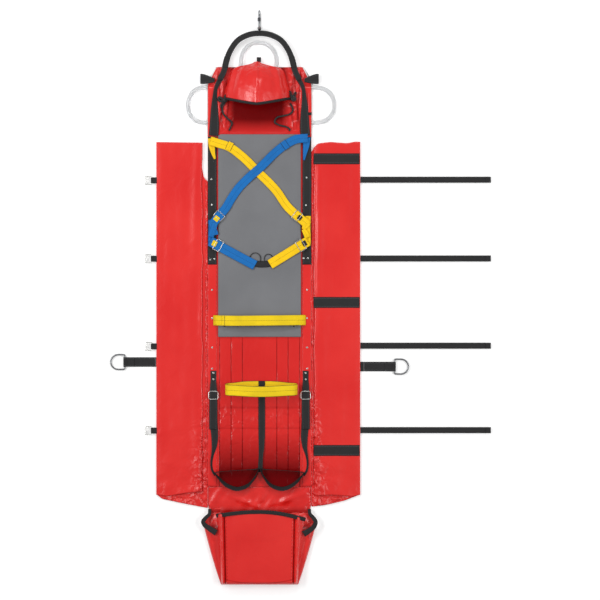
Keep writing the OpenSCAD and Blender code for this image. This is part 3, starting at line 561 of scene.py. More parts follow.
# Mat: closed-cell foam in a grey polyamide cover, glued flat, with one stitched line round its edge.
foam, tree, shader = principled("polyamide_cover_grey")
at = add(tree, "ShaderNodeTexCoord")
cloud = noise(tree, at, 4.0, 4.0)
mix = mixed(tree, cloud.outputs[0], linear("#66676A"), linear("#818285"))
tree.links.new(mix.outputs[2], shader.inputs["Base Color"])
# plain weave 1.2 mm
rows = threads(tree, at, 260.0, "X")
cols = threads(tree, at, 260.0, "Y")
cloth = add(tree, "ShaderNodeMath", [(0, rows.outputs["Fac"]), (1, cols.outputs["Fac"])], operation="ADD")
bump = add(tree, "ShaderNodeBump", [("Height", cloth.outputs[0]), ("Strength", 0.3), ("Distance", 0.0003)])
tree.links.new(bump.outputs[0], shader.inputs["Normal"])
shader.inputs["Roughness"].default_value = 0.85


def evaluated(obj):
    """Replaces an object's mesh by what its modifiers make of it, and removes them."""
    made = bpy.data.meshes.new_from_object(obj.evaluated_get(bpy.context.evaluated_depsgraph_get()))
    obj.modifiers.clear()
    obj.data = made
    return obj


def puff(obj, voxel, cap, pressure=4.0):
    """Fills a closed soft piece: even skin by voxels, cloth under pressure without gravity for 20 frames,
    no point moved further than cap (mm)."""
    skin = obj.modifiers.new("skin", "REMESH")
    skin.mode, skin.voxel_size = "VOXEL", voxel * MM
    evaluated(obj)
    before = np.empty(len(obj.data.vertices) * 3)
    obj.data.vertices.foreach_get("co", before)
    cloth = obj.modifiers.new("cloth", "CLOTH")
    cloth.settings.use_pressure = True
    cloth.settings.uniform_pressure_force = pressure
    cloth.settings.effector_weights.gravity = 0
    for f in range(1, 21):
        bpy.context.scene.frame_set(f)
    evaluated(obj)
    bpy.context.scene.frame_set(1)
    after = np.empty_like(before)
    obj.data.vertices.foreach_get("co", after)
    move = (after - before).reshape(-1, 3)
    far = np.linalg.norm(move, axis=1)
    move *= np.minimum(1, cap * MM / np.maximum(far, 1e-9))[:, None]
    obj.data.vertices.foreach_set("co", (before.reshape(-1, 3) + move).ravel())
    obj.data.polygons.foreach_set("use_smooth", np.ones(len(obj.data.polygons), bool))
    obj.data.update()
    return obj


v, u = np.meshgrid(np.linspace(-1, 1, 120), np.linspace(-1, 1, 60))
Y = 190 + v * 468
X = u * (192.5 - 12 * np.clip((abs(v) - 0.975) / 0.025, 0, 1) ** 2 * (v > 0))
mat = slab("grey_mat", X, Y, 18.4 + 0 * u, 10.6, foam, None, ["foam_mat"])
puff(mat, 5.0, 1.0)
co = np.empty(len(mat.data.vertices) * 3)
mat.data.vertices.foreach_get("co", co)
co = co.reshape(-1, 3) * 1000
inset = np.minimum(192 - abs(co[:, 0]), np.minimum(658 - co[:, 1], co[:, 1] + 278))
up = co[:, 2] > 15
co[:, 2] -= np.where(up, 1.2 * bell(inset, 11, 3.2), 0)
dish = ripple(co[:, 0], co[:, 1], 12, 160) * 0.35
co[:, 2] = np.clip(co[:, 2] + np.where(up, dish, 0), 9.1, 21.2)
mat.data.vertices.foreach_set("co", (co * MM).ravel())
smooth = mat.modifiers.new("round", "SUBSURF")
smooth.levels = smooth.render_levels = 1
finish_piece(mat, foam, "base")

# Rivets and snap heads: nickel-plated steel caps, domed in a press, 9 mm across.
def metal(name, code, rough, scratch=120.0):
    m, tree, shader = principled(name)
    at = add(tree, "ShaderNodeTexCoord")
    fine = noise(tree, at, scratch, 5.0)
    r = add(tree, "ShaderNodeMapRange",
            [("Value", fine.outputs[0]), ("To Min", rough - 0.07), ("To Max", rough + 0.09)])
    tree.links.new(r.outputs[0], shader.inputs["Roughness"])
    bump = add(tree, "ShaderNodeBump",
               [("Height", fine.outputs[0]), ("Strength", 0.08), ("Distance", 0.0004)])
    tree.links.new(bump.outputs[0], shader.inputs["Normal"])
    shader.inputs["Base Color"].default_value = linear(code)
    shader.inputs["Metallic"].default_value = 1.0
    return m


NICKEL = metal("nickel_plated_steel", "#DADAD6", 0.28)


def turned(profile, middle, axis="z", sides=28):
    """A turned piece: (radius, height) pairs carried round an axis through middle. Returns a grid."""
    r, h = np.array(profile, float).T
    w = np.linspace(0, 2 * math.pi, sides, endpoint=False)
    a, b, c = r[:, None] * np.cos(w), r[:, None] * np.sin(w), h[:, None] + 0 * w
    P = np.stack({"z": (a, b, c), "y": (b, c, a), "x": (c, a, b)}[axis], -1) + np.array(middle, float)
    return P, None, False, True, True


CAP = [(4.5, 0), (4.5, 0.7), (4.2, 1.2), (3.2, 1.6), (2.0, 1.8), (1.4, 1.65), (0.6, 1.6)]
spots = [(s * 218, y, 11.0) for s in (-1, 1) for y in (-59, -189, -324, -421)]
spots += [(x, y, 13.4) for x, y in ((-221, 449), (-219, 331), (-227, 80), (-207, 83), (216, 456), (213, 330),
                                    (203, 86), (222, 86))]
spots += [(s * 212, y, 13.2) for s in (-1, 1) for y in (-441, -470)]
caps = outward(mesh_of("rivet_caps", [turned(CAP, p, sides=16) for p in spots]))
finish_piece(caps, NICKEL, "base", ["rivets"])

# Hood: an arched shell of coated sheet sewn from two halves, closed to a point at the head end. A black
# corded binding edges its mouth, and a tab of webbing sews the point down.
HOOD_X, HOOD_Z, HOOD_W, HOOD_H = -10, 9.3, 144, 104
HOOD_ROWS = [(788, 1.03, 1, 36), (818, 1.03, 1.0, 26), (850, 1.01, 0.98, 14), (880, 0.96, 0.92, 6),
             (908, 0.92, 0.83, 2),
             (934, 0.87, 0.68, 0), (952, 0.8, 0.54, 0), (963, 0.66, 0.45, 0), (970, 0.4, 0.4, 0),
             (977, 0.2, 0.35, 0),
             (986, 0.08, 0.3, 0)]


def pin_profile(radius, half):
    """A round pin for turned(), its ends rounded off by 0.4 mm along and 0.1 mm across."""
    return [(0.4, -half), (radius - 0.1, -half), (radius, 0.4 - half),
            (radius, half - 0.4), (radius - 0.1, half), (0.4, half)]


def arch(rows, a, inset=0.0):
    """Tent section: x = centre + half width cos a, y = station + bow |cos a|^1.3, and z = foot + height times
    the mean of sin^0.85 a and 1 - |cos a|^1.25."""
    y, w, h, bow = (rows[:, k:k + 1] for k in range(4))
    c, s = np.cos(a)[None], np.maximum(np.sin(a), 0)[None]
    rise = 0.45 * s**0.85 + 0.55 * (1 - np.abs(c) ** 1.25)
    return np.stack([HOOD_X + (HOOD_W * w - inset) * c, y + bow * np.abs(c) ** 1.3,
                     HOOD_Z + (HOOD_H * h - inset) * rise],
                    -1)


rows = follow([(r[0], 0, 0, r[1], r[2], r[3]) for r in HOOD_ROWS], 3)[:, [0, 3, 4, 5]]
angle = np.linspace(math.pi, 0, 97)
P = arch(rows, angle)
A = np.broadcast_to(angle[None], P.shape[:2])
Yh = P[..., 1]
# centre seam stands up a little; folds run from the mouth's sides to the point
seam = 2.4 * bell(A, math.pi / 2, 0.03) - 1.0 * bell(A, math.pi / 2, 0.12)
back = np.clip((Yh - 800) / 60, 0, 1)
tucks = sum(d * bell(A, math.pi / 2 + k, 0.07 + 0.02 * j) * back
            for j, (k, d) in enumerate(((0.62, 1.6), (0.86, -2.2), (1.12, 3.2), (-0.6, -1.5), (-0.84, 2.6),
                                        (-1.1, -3.0))))
loose = 0.5 * ripple(P[..., 0], Yh, 21, 60) * np.clip((Yh - 806) / 30, 0, 1) * np.sin(A)
N = np.cross(np.gradient(P, axis=0), np.gradient(P, axis=1))
N /= np.maximum(np.linalg.norm(N, axis=2, keepdims=True), 1e-6)
N *= np.sign((N * (P - np.array([HOOD_X, 880, 0]))).sum(2).mean())
P = P + N * (np.where(np.sin(A) > 0.05, seam + tucks + loose - 1.5, 0))[..., None]
P[..., 2] = np.maximum(P[..., 2], 9.4)
hood = mesh_of("hood_canopy", [(P, None, False, False, False)])
mark(hood, "crumple", 0.06 + 0.4 * np.clip((Yh - 900) / 60, 0, 1) + 0 * A)
wall = hood.modifiers.new("wall", "SOLIDIFY")
wall.thickness, wall.offset = 0.002, 0
evaluated(hood)
finish_piece(outward(hood), RED, "hood", ["hood_shell"])
mouth = arch(np.array([HOOD_ROWS[0]], float), np.linspace(math.pi * 0.985, math.pi * 0.015, 80), 1)[0]
mouth[:, 1] -= 5.6
mouth[:, 2] = np.maximum(mouth[:, 2], 14)
tab = webbing([(HOOD_X + 7, 986.5, 14.4), (HOOD_X + 7, 998, 14.0), (HOOD_X + 7, 1009, 14.0)], 20, 2.2, 3)
strap("hood_binding", [round_bar(mouth, 6.2, 12), tab], BLACK, "hood", ["hood_trim"])

# Bows: the loose ends of the hood's draw cord, braided elastic tied in a bow at each corner of the mouth.
# They lie on the cover beside the hood.
bow_left = [(-158, 808, 16), (-148, 822, 18), (-136, 834, 18), (-142, 842, 17), (-156, 832, 19),
            (-162, 812, 22),
            (-174, 819, 19), (-186, 824, 17), (-188, 813, 16), (-176, 806, 18), (-163, 806, 21)]
tail_left = [(-160, 806, 21), (-170, 798, 16), (-178, 786, 14.5), (-176, 776, 14.5)]
bow_right = [(146, 822, 16), (140, 836, 18), (132, 848, 17), (139, 853, 17), (146, 838, 20), (149, 826, 21),
             (158, 840, 18), (166, 848, 16), (167, 838, 16), (156, 828, 19)]
knots = [round_bar(bow_left, 5.4, 8, step=3), round_bar(tail_left, 3.8, 8, step=3),
         round_bar(bow_right, 3.2, 8, step=3)]
knots.append(turned([(0.5, -13), (8, -11), (11, 0), (8, 11), (0.5, 13)], (-160, 810, 19), "x", 14))
knots.append(turned([(0.5, -6), (4.5, -5), (6, 0), (4.5, 5), (0.5, 6)], (147, 824, 18), "x", 14))
strap("draw_cord_bows", knots, braid, "base")

# Cord lock: an injection-moulded barrel with a spring button; the right cord runs through it.
lock_black, tree, shader = principled("moulded_polyacetal_black")
at = add(tree, "ShaderNodeTexCoord")
spark = noise(tree, at, 900.0, 2.0)
bump = add(tree, "ShaderNodeBump", [("Height", spark), ("Strength", 0.15), ("Distance", 0.0003)])
tree.links.new(bump.outputs[0], shader.inputs["Normal"])
tone = mixed(tree, spark, linear("#1D1D1E"), linear("#303032"))
tree.links.new(tone.outputs[2], shader.inputs["Base Color"])
shader.inputs["Roughness"].default_value = 0.42
LOCK = (157, 818, 0)
barrel = [(11.2, 9), (12.6, 9.8), (13, 11), (13, 20.5), (12.4, 22.2), (11, 23), (7, 23), (6.2, 22.4),
          (6, 21.5),
          (6, 12.2)]
grips = turned(barrel, LOCK, sides=72)
ring = grips[0]
w = np.linspace(0, 2 * math.pi, 72, endpoint=False)
flute = 1 - 0.05 * (np.cos(12 * w) > 0.2)[None] * ((ring[..., 2] > 10.5) & (ring[..., 2] < 21))
ring[..., :2] = np.array(LOCK[:2]) + (ring[..., :2] - np.array(LOCK[:2])) * flute[..., None]
strap("cord_lock_barrel", [grips], lock_black, "base", ["cord_lock_body"])
button = [(5.4, 17.2), (5.6, 17.8), (5.6, 25.2), (5.2, 26.3), (4.2, 27), (2.6, 26.6), (0.8, 26.4)]
strap("cord_lock_plunger", [turned(button, LOCK)], lock_black, "lock_button", ["cord_lock_button"])

# Shoulder webs: 44 mm webbing sewn beside the mat, gathered and half turned on edge up to the sling's ends.
for s in (-1, 1):
    n = "lr"[s > 0]
    up = [(211, 648, 11.3, 45, 0), (208, 690, 11.4, 44, 3), (207, 740, 11.9, 38, -7),
          (207, 790, 12.8, 30, -17),
          (205, 835, 13.6, 21, -24), (201, 866, 13.4, 18, -20), (190, 892, 12.2, 20, -8),
          (178, 910, 11.4, 21, 0)]
    rows = [(s * x, y, z, w, s * t) for x, y, z, w, t in up]
    strap("shoulder_web_" + n, [webbing(rows, 44, 2.1, 5)], BLACK_SEWN, "base", ["shoulder_webs"])
    # loop of webbing that holds the end of the side handle, and the elastic hem beside it
    turn = np.linspace(-math.pi / 2, math.pi / 2, 9)
    loop = [(206, 0, 10.2),
            (236, 0, 10.2)] + [(266 + 5.4 * math.cos(a), 0, 15.6 + 5.4 * math.sin(a)) for a in turn]
    loop += [(236, 0, 21.0), (206, 0, 21.0)]
    rows = [(s * x, 909.5 - 0.12 * (266 - x), z, np.interp(x, [206, 232, 262], [15, 33, 45])) for x, _,
            z in loop]
    strap("side_loop_" + n, [webbing(rows, 44.6, 2.0, 3, across=(0, 1, 0), centred=True)], BLACK_SEWN, "base",
          ["side_loops"])

# Sling: doubled black webbing bowed round the head end, with a sewn eye for the carabiner at its top.
half = [(180, 906, 0), (179, 913, 0.5), (172, 926, 1), (163, 945, 2), (155, 980, 4), (143, 1017, 6),
        (124, 1054, 8),
        (98, 1085, 10), (60, 1106, 12), (30, 1114, 13), (0, 1116, 13.5)]
full = [(-x, y, 15.6 + z, 26) for x, y, z in half] + [(x, y, 15.6 + z, 26) for x, y, z in half[-2::-1]]
roots = [turned([(0.5, -12), (2.6, -12), (3, -11.4), (3, 11.4), (2.6, 12), (0.5, 12)], (s * 180, 905, 16.5),
                "x", 20)
         for s in (-1, 1)]
eye_w = np.linspace(0, 2 * math.pi, 40, endpoint=False)
eye = [(7.5 * math.cos(a), 1138 + 7.5 * math.sin(a), 31) for a in eye_w]
ring = webbing(eye, 15, 2.2, 2, across=(0, 0, 1), centred=True, closed=True)
neck = webbing([(0, 1116.5, 31), (0, 1124, 31), (0, 1130.4, 31)], 12, 7.4, 2, across=(0, 0, 1), centred=True)
strap("sling_band", [webbing(full, 26, 3.0, 5), *roots, ring, neck], BLACK_SEWN, "sling", ["sling"])
# black heat-shrunk sleeves where the sling's ends are stitched
sleeves = [webbing([(s * 158.5, 962, 18.5), (s * 152, 990, 20.5), (s * 146.5, 1008, 21.6)], 28, 4.2, 3)
           for s in (-1, 1)]
strap("sling_end_sleeves", sleeves, BLACK, "sling")

# Carabiner: a forged aluminium bar bent to a rounded rectangle, satin grey, with a gate on a hinge pin and
# a knurled locking sleeve that turns on the gate.
FORGED = metal("forged_aluminium_satin", "#A9ABAD", 0.34, 60.0)
SLEEVE = metal("anodised_aluminium_grey", "#4E5053", 0.36, 200.0)
GATE = metal("turned_aluminium", "#8E9093", 0.30, 150.0)


def bend(y, z, start):
    """A quarter turn of radius 16 about (y, z), in 10 degree steps, from start + 90 back to start."""
    return [(0, y + 16 * math.cos(math.radians(start + q)), z + 16 * math.sin(math.radians(start + q)))
            for q in range(90, -1, -10)]


bar = [(0, 1196.3, 56.5)] + bend(1199, 40.5, 0) + bend(1199, 21.5, 270) + bend(1154, 21.5, 180)
bar += bend(1154, 40.5, 90) + [(0, 1156, 56.5)]
strap("carabiner_bar", [round_bar(bar, 5.5, 20)], FORGED, "carabiner", ["carabiner_frame"])
gate = [(1.6, 1156.4), (4.4, 1157.2), (4.55, 1158), (4.55, 1187.4), (5, 1190.8), (4.7, 1192.8), (3.4, 1194.6),
        (1, 1195.8)]
strap("carabiner_gate_pin", [turned(gate, (0, 0, 56.5), "y", 24)], GATE, "gate", ["carabiner_gate"])
knurl = turned([(4.95, 1165.2), (7.0, 1165.2), (7.5, 1165.8)] + [(7.5, 1166.4 + 0.5 * k) for k in range(29)]
               + [(7.5, 1181.2), (7.0, 1181.8), (4.95, 1181.8)], (0, 0, 56.5), "y", 60)
tooth = knurl[0]
w = np.linspace(0, 2 * math.pi, 60, endpoint=False)[None]
y = tooth[..., 1]
high = (y > 1166.2) & (y < 1181)
deep = 1 - 0.035 * high * (np.abs(np.sin(15 * w + 0.9 * y)) * np.abs(np.sin(15 * w - 0.9 * y)))
tooth[..., 0] *= deep
tooth[..., 2] = 56.5 + (tooth[..., 2] - 56.5) * deep
strap("carabiner_locking_sleeve", [(tooth, None, True, True, False)], SLEEVE, "sleeve", ["carabiner_sleeve"])

# Tube handles: lengths of bright white polyethylene tube, 20 mm thick, whose ends are held in webbing.
tube_white, tree, shader = principled("polyethylene_tube_white")
at = add(tree, "ShaderNodeTexCoord")
cloud = noise(tree, at, 20.0, 2.0)
tone = mixed(tree, cloud, linear("#E6E8EA"), linear("#FAFAFA"))
tree.links.new(tone.outputs[2], shader.inputs["Base Color"])
shader.inputs["Roughness"].default_value = 0.3
shader.inputs["Transmission Weight"].default_value = 0.72
shader.inputs["IOR"].default_value = 1.3


def tube_handle(name, node, centre, half, reach, turn):
    """Half ellipse with full shoulders: x = -half cos a, y = reach sin^0.8 a, turned about Z."""
    a = np.linspace(0, math.pi, 61)
    p = np.stack([-half * np.cos(a), reach * np.maximum(np.sin(a), 0) ** 0.8, 10 + 0 * a], 1)
    tip = np.radians([85, 70, 50, 25])
    first = np.stack([0 * tip - half, -10 * np.sin(tip), 10 + 0 * tip], 1)
    last = first[::-1] * (-1, 1, 1)
    r = np.concatenate([np.cos(tip), np.ones(61), np.cos(tip[::-1])]) * 9.9
    p = np.concatenate([first, p, last])
    c, s = math.cos(turn), math.sin(turn)
    p[:, :2] = p[:, :2] @ np.array([[c, s], [-s, c]]) + centre
    strap(name, [round_bar(p, r, 20)], tube_white, node, [node])


tube_handle("head_handle_tube", "handle_head", (-3.5, 975.3), 83, 102, 0)
tube_handle("left_handle_tube", "handle_left", (-248.3, 790), 81, 80, math.pi / 2)
tube_handle("right_handle_tube", "handle_right", (248.3, 790), 81, 96, -math.pi / 2)

# Wings: each one a single coated sheet, folded double at its outer edge and seamed along the body. The upper
# layer lies loose, so its inner edge waves and its foot end gapes over the lower one.
def layer(side, x, lows, highs, rows, z):
    """Grid of one layer: at distance x from the middle it runs from the foot outline to the head outline."""
    foot, head = (np.interp(x, *np.array(o, float).T) for o in (lows, highs))
    v = np.linspace(0, 1, rows)[:, None]
    return np.stack(np.broadcast_arrays(side * x[None], foot + v * (head - foot), z), -1)


WING = {
    "left": (-1, 475, [(240, -1062), (312, -1048), (446, -1021), (472.5, -1001)],
             [(240, 442), (252, 450), (263, 474), (268, 540), (272, 614), (472.5, 620)],
             [(262, -984), (330, -990), (420, -1006), (472.5, -1001)], [(262, 617), (472.5, 620)]),
    "right": (1, 463, [(240, -1056), (303, -1048), (390, -1028), (460.5, -1001)],
              [(240, 579), (250, 596), (266, 610), (300, 617), (460.5, 620)],
              [(250, -1004), (330, -1000), (430, -1008), (460.5, -1001)],
              [(250, 584), (254, 595), (266, 610), (300, 617), (460.5, 620)]),
}
for name, (s, edge, low_foot, low_head, up_foot, up_head) in WING.items():
    body = name + "_wing"
    out, inner = edge - 2.5, up_foot[0][0]
    xs_low = np.concatenate([[240.4, 243], np.linspace(248, out, 26)])
    xs_up = np.linspace(out, inner, 34)
    low = layer(s, xs_low, low_foot, low_head, 330, 6.0)
    high = layer(s, xs_up, up_foot, up_head, 330, 9.1)
    half = np.linspace(-math.pi / 2, math.pi / 2, 9)[1:-1]
    fold = np.stack([np.broadcast_to(s * (out + 1.6 * np.cos(half)), (330, 7)),
                     np.repeat(low[:, -1:, 1], 7, 1),
                     np.broadcast_to(7.55 + 1.55 * np.sin(half), (330, 7))], -1)
    P = np.concatenate([low, fold, high], 1)
    X, Y = P[..., 0], P[..., 1]
    d = np.abs(X) - inner
    upper = np.zeros(X.shape)
    upper[:, low.shape[1] + 7:] = 1
    free = np.clip((out - np.abs(X)) / 40, 0, 1) * upper
    bands = 1 - 0.85 * (sum(bell(Y, y, 30) for y in (543, -117, -797)) if s > 0 else 0)
    long_wave = 1.7 * (1
                       + np.sin(np.abs(X) / 15 + 2.1 * np.sin(Y / 330 + s))) * bell(np.abs(X), inner + 20, 26)
    broad = 0.8 * (ripple(X, Y * 0.12, 31 + s, 90) + 1.6) + 1.4 * bell(np.abs(X), out - 14, 12)
    foot = np.clip((-560 - Y) / 420, 0, 1) ** 1.5
    crush = np.clip(np.clip((-430 - Y) / 300, 0, 1) * bell(np.abs(X), 250, 26) + 0.85 * foot
                    * bell(np.abs(X), 262, 55)
                    + 0.9 * (1 - upper) * (Y < -985) + 0.12 * foot, 0, 1)
    puffed = free * bands * (long_wave + broad + foot * 1.5 * (ripple(X, Y, 41 + s, 95) + 1.3)
                             + 6 * np.clip((-930 - Y) / 75, 0, 1) * bell(np.abs(X), inner + 60, 95))
    P[..., 2] += puffed * np.clip((np.abs(X) - 256) / 12, 0, 1)
    P[..., 2] -= 1.2 * upper * np.clip((262 - np.abs(X)) / 10, 0, 1) * (np.abs(X) < out - 5)
    hem = (1 - upper) * np.clip((-1000 - Y) / 40, 0, 1) * np.clip((np.abs(X) - 252) / 30, 0, 1)
    P[..., 2] += hem * 2.6 * (ripple(X, Y, 51 + s, 28) + 1.0)
    wave = upper * bell(d, 0, 26) * (Y > -950) * (Y < 540)
    P[..., 0] += s * wave * 2.4 * (ripple(Y, 0 * Y, 61 + s, 200) + 0.2)
    P[..., 1] += (Y > 560) * 1.6 * ripple(X, 0 * X, 71 + s, 90) * (s > 0)
    sheet = mesh_of(name + "_wing_sheet", [(P, None, False, False, False)])
    mark(sheet, "crumple", crush)
    wall = sheet.modifiers.new("wall", "SOLIDIFY")
    wall.thickness, wall.offset = 0.0016, 0
    evaluated(sheet)
    finish_piece(outward(sheet), RED, body, [body])
    # welted seam along the body
    root = [(s * 240, low_foot[0][1] + 2, 6.0), (s * 240, 0, 6.0), (s * 240, low_head[0][1] - 2, 6.0)]
    strap(name + "_wing_welt", [round_bar(root, 2.15, 10, step=20)], RED, body, ())

# Hinge covers: narrow crinkled tucks of the coated sheet where the wings are sewn to the body.
for s, body, head_end in ((-1, "left_wing", 438), (1, "right_wing", 560)):
    y = np.arange(-955, head_end, 6.0)
    uneven = ripple(y, 0 * y, 61 + s, 22)
    tuck = np.stack([s * (243 + 0.6 * uneven), y, 9.5 + 0.3 * uneven, 9 + 1.6 * np.sin(y / 19 + s)], 1)
    side_name = body.split("_")[0]
    # the darker red copy of the sheet on these tucks is painted shade
    piece = strap(f"{side_name}_hinge_tuck", [webbing(tuck.tolist(), 14, 1.6, 5)], RED_SHADED, None, ())
    mark(piece, "crumple", np.full(len(piece.data.vertices), 0.6))
    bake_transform(piece)

# Wing bands: 50 mm black webbing sewn across the right wing, under which the closure straps are sewn on.
bands = [webbing([(248.5, y, 12.4), (275, y, 12.2), (330, y, 11.2), (400, y, 10.7), (452, y, 10.3),
                  (460, y, 10.1)], 50,
                 1.9, 6) for y in (543, -117, -797)]
strap("wing_band_webbing", bands, BLACK_SEWN, "right_wing", ["wing_bands"])

# Closure straps: four 28 mm webbings that run across the casualty to the buckles of the other wing.
for k, y in enumerate((447, 85, -316, -704), 1):
    path = [(464.9, y, 7.2), (470, y, 6.5), (520, y, 6.4), (700, y, 6.4), (880, y, 6.4), (1046, y, 6.4)]
    tip = webbing([(1038, y, 8.6), (1050, y, 8.7), (1063, y, 8.0)], 27.6, 1.6, 3)
    root = turned(pin_profile(1.8, 14), (465.1, y, 7.5), "y", 16)
    end = webbing([(1044, y, 6.4), (1054, y, 6.5), (1063, y, 6.9)], 28, 2.2, 3)
    strap(f"closure_webbing_{k}", [webbing(path, 28, 2.2, 7), end, tip, root], BLACK, f"closure_{k}",
          [f"closure_strap_{k}"])

# Wing buckles: ladder buckles bent from nickel-plated wire, each on a tab of webbing at the left wing's edge.
def wire_frame(x0, x1, half, z, r, corner, bars=()):
    """Rectangle of round wire with bent corners, in a level plane, and cross bars at the x values given."""
    w = np.radians(np.arange(0, 91, 18))
    ring = []
    for cx, cy, a in ((x1 - corner, half - corner, 0), (x0 + corner, half - corner, 1),
                      (x0 + corner, corner - half, 2),
                      (x1 - corner, corner - half, 3)):
        ring += [(cx + corner * math.cos(q + a * math.pi / 2), cy + corner * math.sin(q + a * math.pi / 2), z)
                 for q in w]
    made = [round_bar(ring, r, 12, closed=True)]
    made += [round_bar([(x, -half, z), (x, 0, z), (x, half, z)], r * 0.85, 12) for x in bars]
    return made


def moved(grids, place, turn=0.0):
    """The same grids turned about Z and set at a place."""
    c, s = math.cos(turn), math.sin(turn)
    M = np.array([[c, s, 0], [-s, c, 0], [0, 0, 1]])
    return [(P @ M + np.array(place, float), *rest) for P, *rest in grids]


tabs = []
for k, y in enumerate((444, 84, -319, -706), 1):
    a = np.linspace(math.pi * 0.5, math.pi * 1.5, 9)
    loop = [(-472, y, 9.9), (-484, y, 9.6),
            (-492, y, 10.6)] + [(-496 + 3.2 * math.cos(q), y, 7.5 + 3.2 * math.sin(q))
                                                                 for q in a]
    loop += [(-492, y, 4.9), (-484, y, 6.2), (-475.2, y, 6.9)]
    tabs.append(webbing([(x, yy, z) for x, yy, z in loop], 27.6, 1.9, 2, across=(0, 1, 0), centred=True))
    made = wire_frame(-525.8, -496, 19, 7.5, 1.8, 4, (-513,))
    made += [webbing([(-519.6, 0, 7.0), (-519.7, 0, 8.6)], 30, 1.6, 1, across=(0, 1, 0), centred=True)]
    strap(f"wing_buckle_{k}", moved(made, (0, y, 0)), NICKEL, f"buckle_{k}", [f"buckle_{k}"])
strap("buckle_tab_webbing", tabs, BLACK, "left_wing", ["buckle_tabs"])

# Lift straps: 44 mm webbing sewn through under the wings. Their tails end in stitched loops with steel
# D-rings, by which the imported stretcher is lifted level.
runs = [webbing([(s * 197.5, y, 2.0), (s * 300, y, 2.0), (s * 400, y, 2.0), (s * 479.4, y, 2.0)], 44, 2.0, 12)
        for s, y in ((-1, -391), (1, -412))]
strap("lift_strap_webbing", runs, BLACK, "base", ["lift_straps"])
ZINC = metal("zinc_plated_steel", "#8C8D8F", 0.3, 90.0)
for s, y in ((-1, -391), (1, -412)):
    n = "left" if s < 0 else "right"
    a = np.linspace(-math.pi / 2, math.pi / 2, 9)
    path = [(482, 3.0), (540, 3.0), (598, 2.9),
            (612, 2.0)] + [(620 + 5.5 * math.cos(q), 6.8 + 5.5 * math.sin(q)) for q in a]
    path += [(613, 9.6), (604, 6.1), (590, 5.2), (575, 5.1)]
    tail = webbing([(s * x, y, z) for x, z in path], 44, 2.0, 3, across=(0, 1, 0), centred=True)
    pin = turned(pin_profile(1.7, 22), (s * 482, y, 3.0), "y", 14)
    strap(f"lift_tail_webbing_{n}", [tail, pin], BLACK_SEWN, f"lift_tail_{n}", [f"lift_tail_{n}"])
    arc = np.radians(np.arange(-90, 91, 10))
    ring = [(650 + 34 * math.cos(q), 34 * math.sin(q), 6.8) for q in arc]
    ring += [(640, 34, 6.8), (630, 34, 6.8)] + [(626 - 6 * math.sin(q), 28 + 6 * math.cos(q), 6.8)
                                                for q in np.radians(np.arange(0, 91, 22.5))]
    ring += [(620, 14, 6.8), (620, 0, 6.8), (620, -14, 6.8)]
    ring += [(626 - 6 * math.cos(q), -28 - 6 * math.sin(q), 6.8) for q in np.radians(np.arange(0, 91, 22.5))]
    ring += [(630, -34, 6.8), (640, -34, 6.8)]
    strap(f"lift_d_ring_{n}", [round_bar([(s * x, y + yy, z) for x, yy, z in ring], 4.0, 16, closed=True)],
          ZINC,
          f"lift_ring_{n}", [f"lift_ring_{n}"])

# Harness: 40 mm shoulder and 45 mm leg webbing, blue on one side and yellow on the other, crossed over the
# chest, folded down at both edges of the mat and adjusted by steel three-bar sliders.
yellow = [(-226, 624, 22), (-214, 621, 24.4), (-190, 613, 24.2), (-147, 600, 22.6), (-86, 558, 22.3),
          (-10, 484, 22.2),
          (78, 394, 22.3), (132, 318, 24.2), (172, 281, 24.6), (212, 247, 24.2), (224, 237, 21)]
drop_left = webbing([(-221, 636, 18, 33), (-219, 600, 16.5, 28), (-213, 570, 15.5, 19), (-205, 541, 14.6, 8)],
                    33, 2.2, 5)
strap("shoulder_webbing_yellow", [webbing(yellow, 40, 2.2, 6, sag=0.25), drop_left], YELLOW, "base",
      ["shoulder_strap_yellow"])
blue = [(222, 637, 21), (210, 636, 24.2), (172, 632, 24.0), (125, 610, 22.6), (69, 567, 22.5),
        (36, 534, 24.9),
        (3, 501, 25.2), (-44, 460, 24.9), (-72, 433, 22.6), (-91, 413, 22.4), (-128, 361, 22.8),
        (-156, 314, 24.2),
        (-185, 280, 24.6), (-209, 250, 24.2), (-221, 238, 21)]
drop_right = webbing([(217, 640, 18, 34), (214, 600, 16.5, 28), (208, 565, 15.5, 17), (204, 536, 14.6, 8)],
                     29, 2.2, 5)
strap("shoulder_webbing_blue", [webbing(blue, 40, 2.2, 6, sag=0.25), drop_right], BLUE, "base",
      ["shoulder_strap_blue"])
leg_l = [(-226, 164, 21.5), (-208, 154, 24.2), (-190, 144.5, 24.6), (-156, 126, 24.2), (-110, 101, 23.2),
         (-63, 76, 24.2),
         (-20, 53, 24.6)]
leg_r = [(222, 163.5, 21.8), (208, 155, 24.2), (190, 144.3, 24.6), (149, 119, 24.0), (102, 90, 24.0),
         (48, 57, 24.6)]
strap("leg_webbing_blue", [webbing(leg_l, 45, 2.2, 5, sag=0.2)], BLUE, "base", ["leg_strap_blue"])
strap("leg_webbing_yellow", [webbing(leg_r, 45, 2.2, 5, sag=0.2)], YELLOW, "base", ["leg_strap_yellow"])
for s, cloth, colour, top in ((-1, BLUE, "web_blue", 262), (1, YELLOW, "web_yellow", 280)):
    n = "left" if s < 0 else "right"
    back = webbing([(s * 223, top, 16.0), (s * 222, 225, 17.5), (s * 223, 190, 17.0), (s * 223, 148, 15.5)],
                   24, 2.2, 5,
                   across=(1, 0, 0))
    cross = webbing([(s * 212, top - 8, 20.5), (s * 219, 232, 21.5), (s * 224, 205, 20.5),
                     (s * 225, 180, 18.5)], 19, 2.2,
                    4, across=(1, 0, 0))
    strap(f"harness_side_webbing_{n}", [back, cross], cloth, "base", [f"harness_anchor_{n}"])
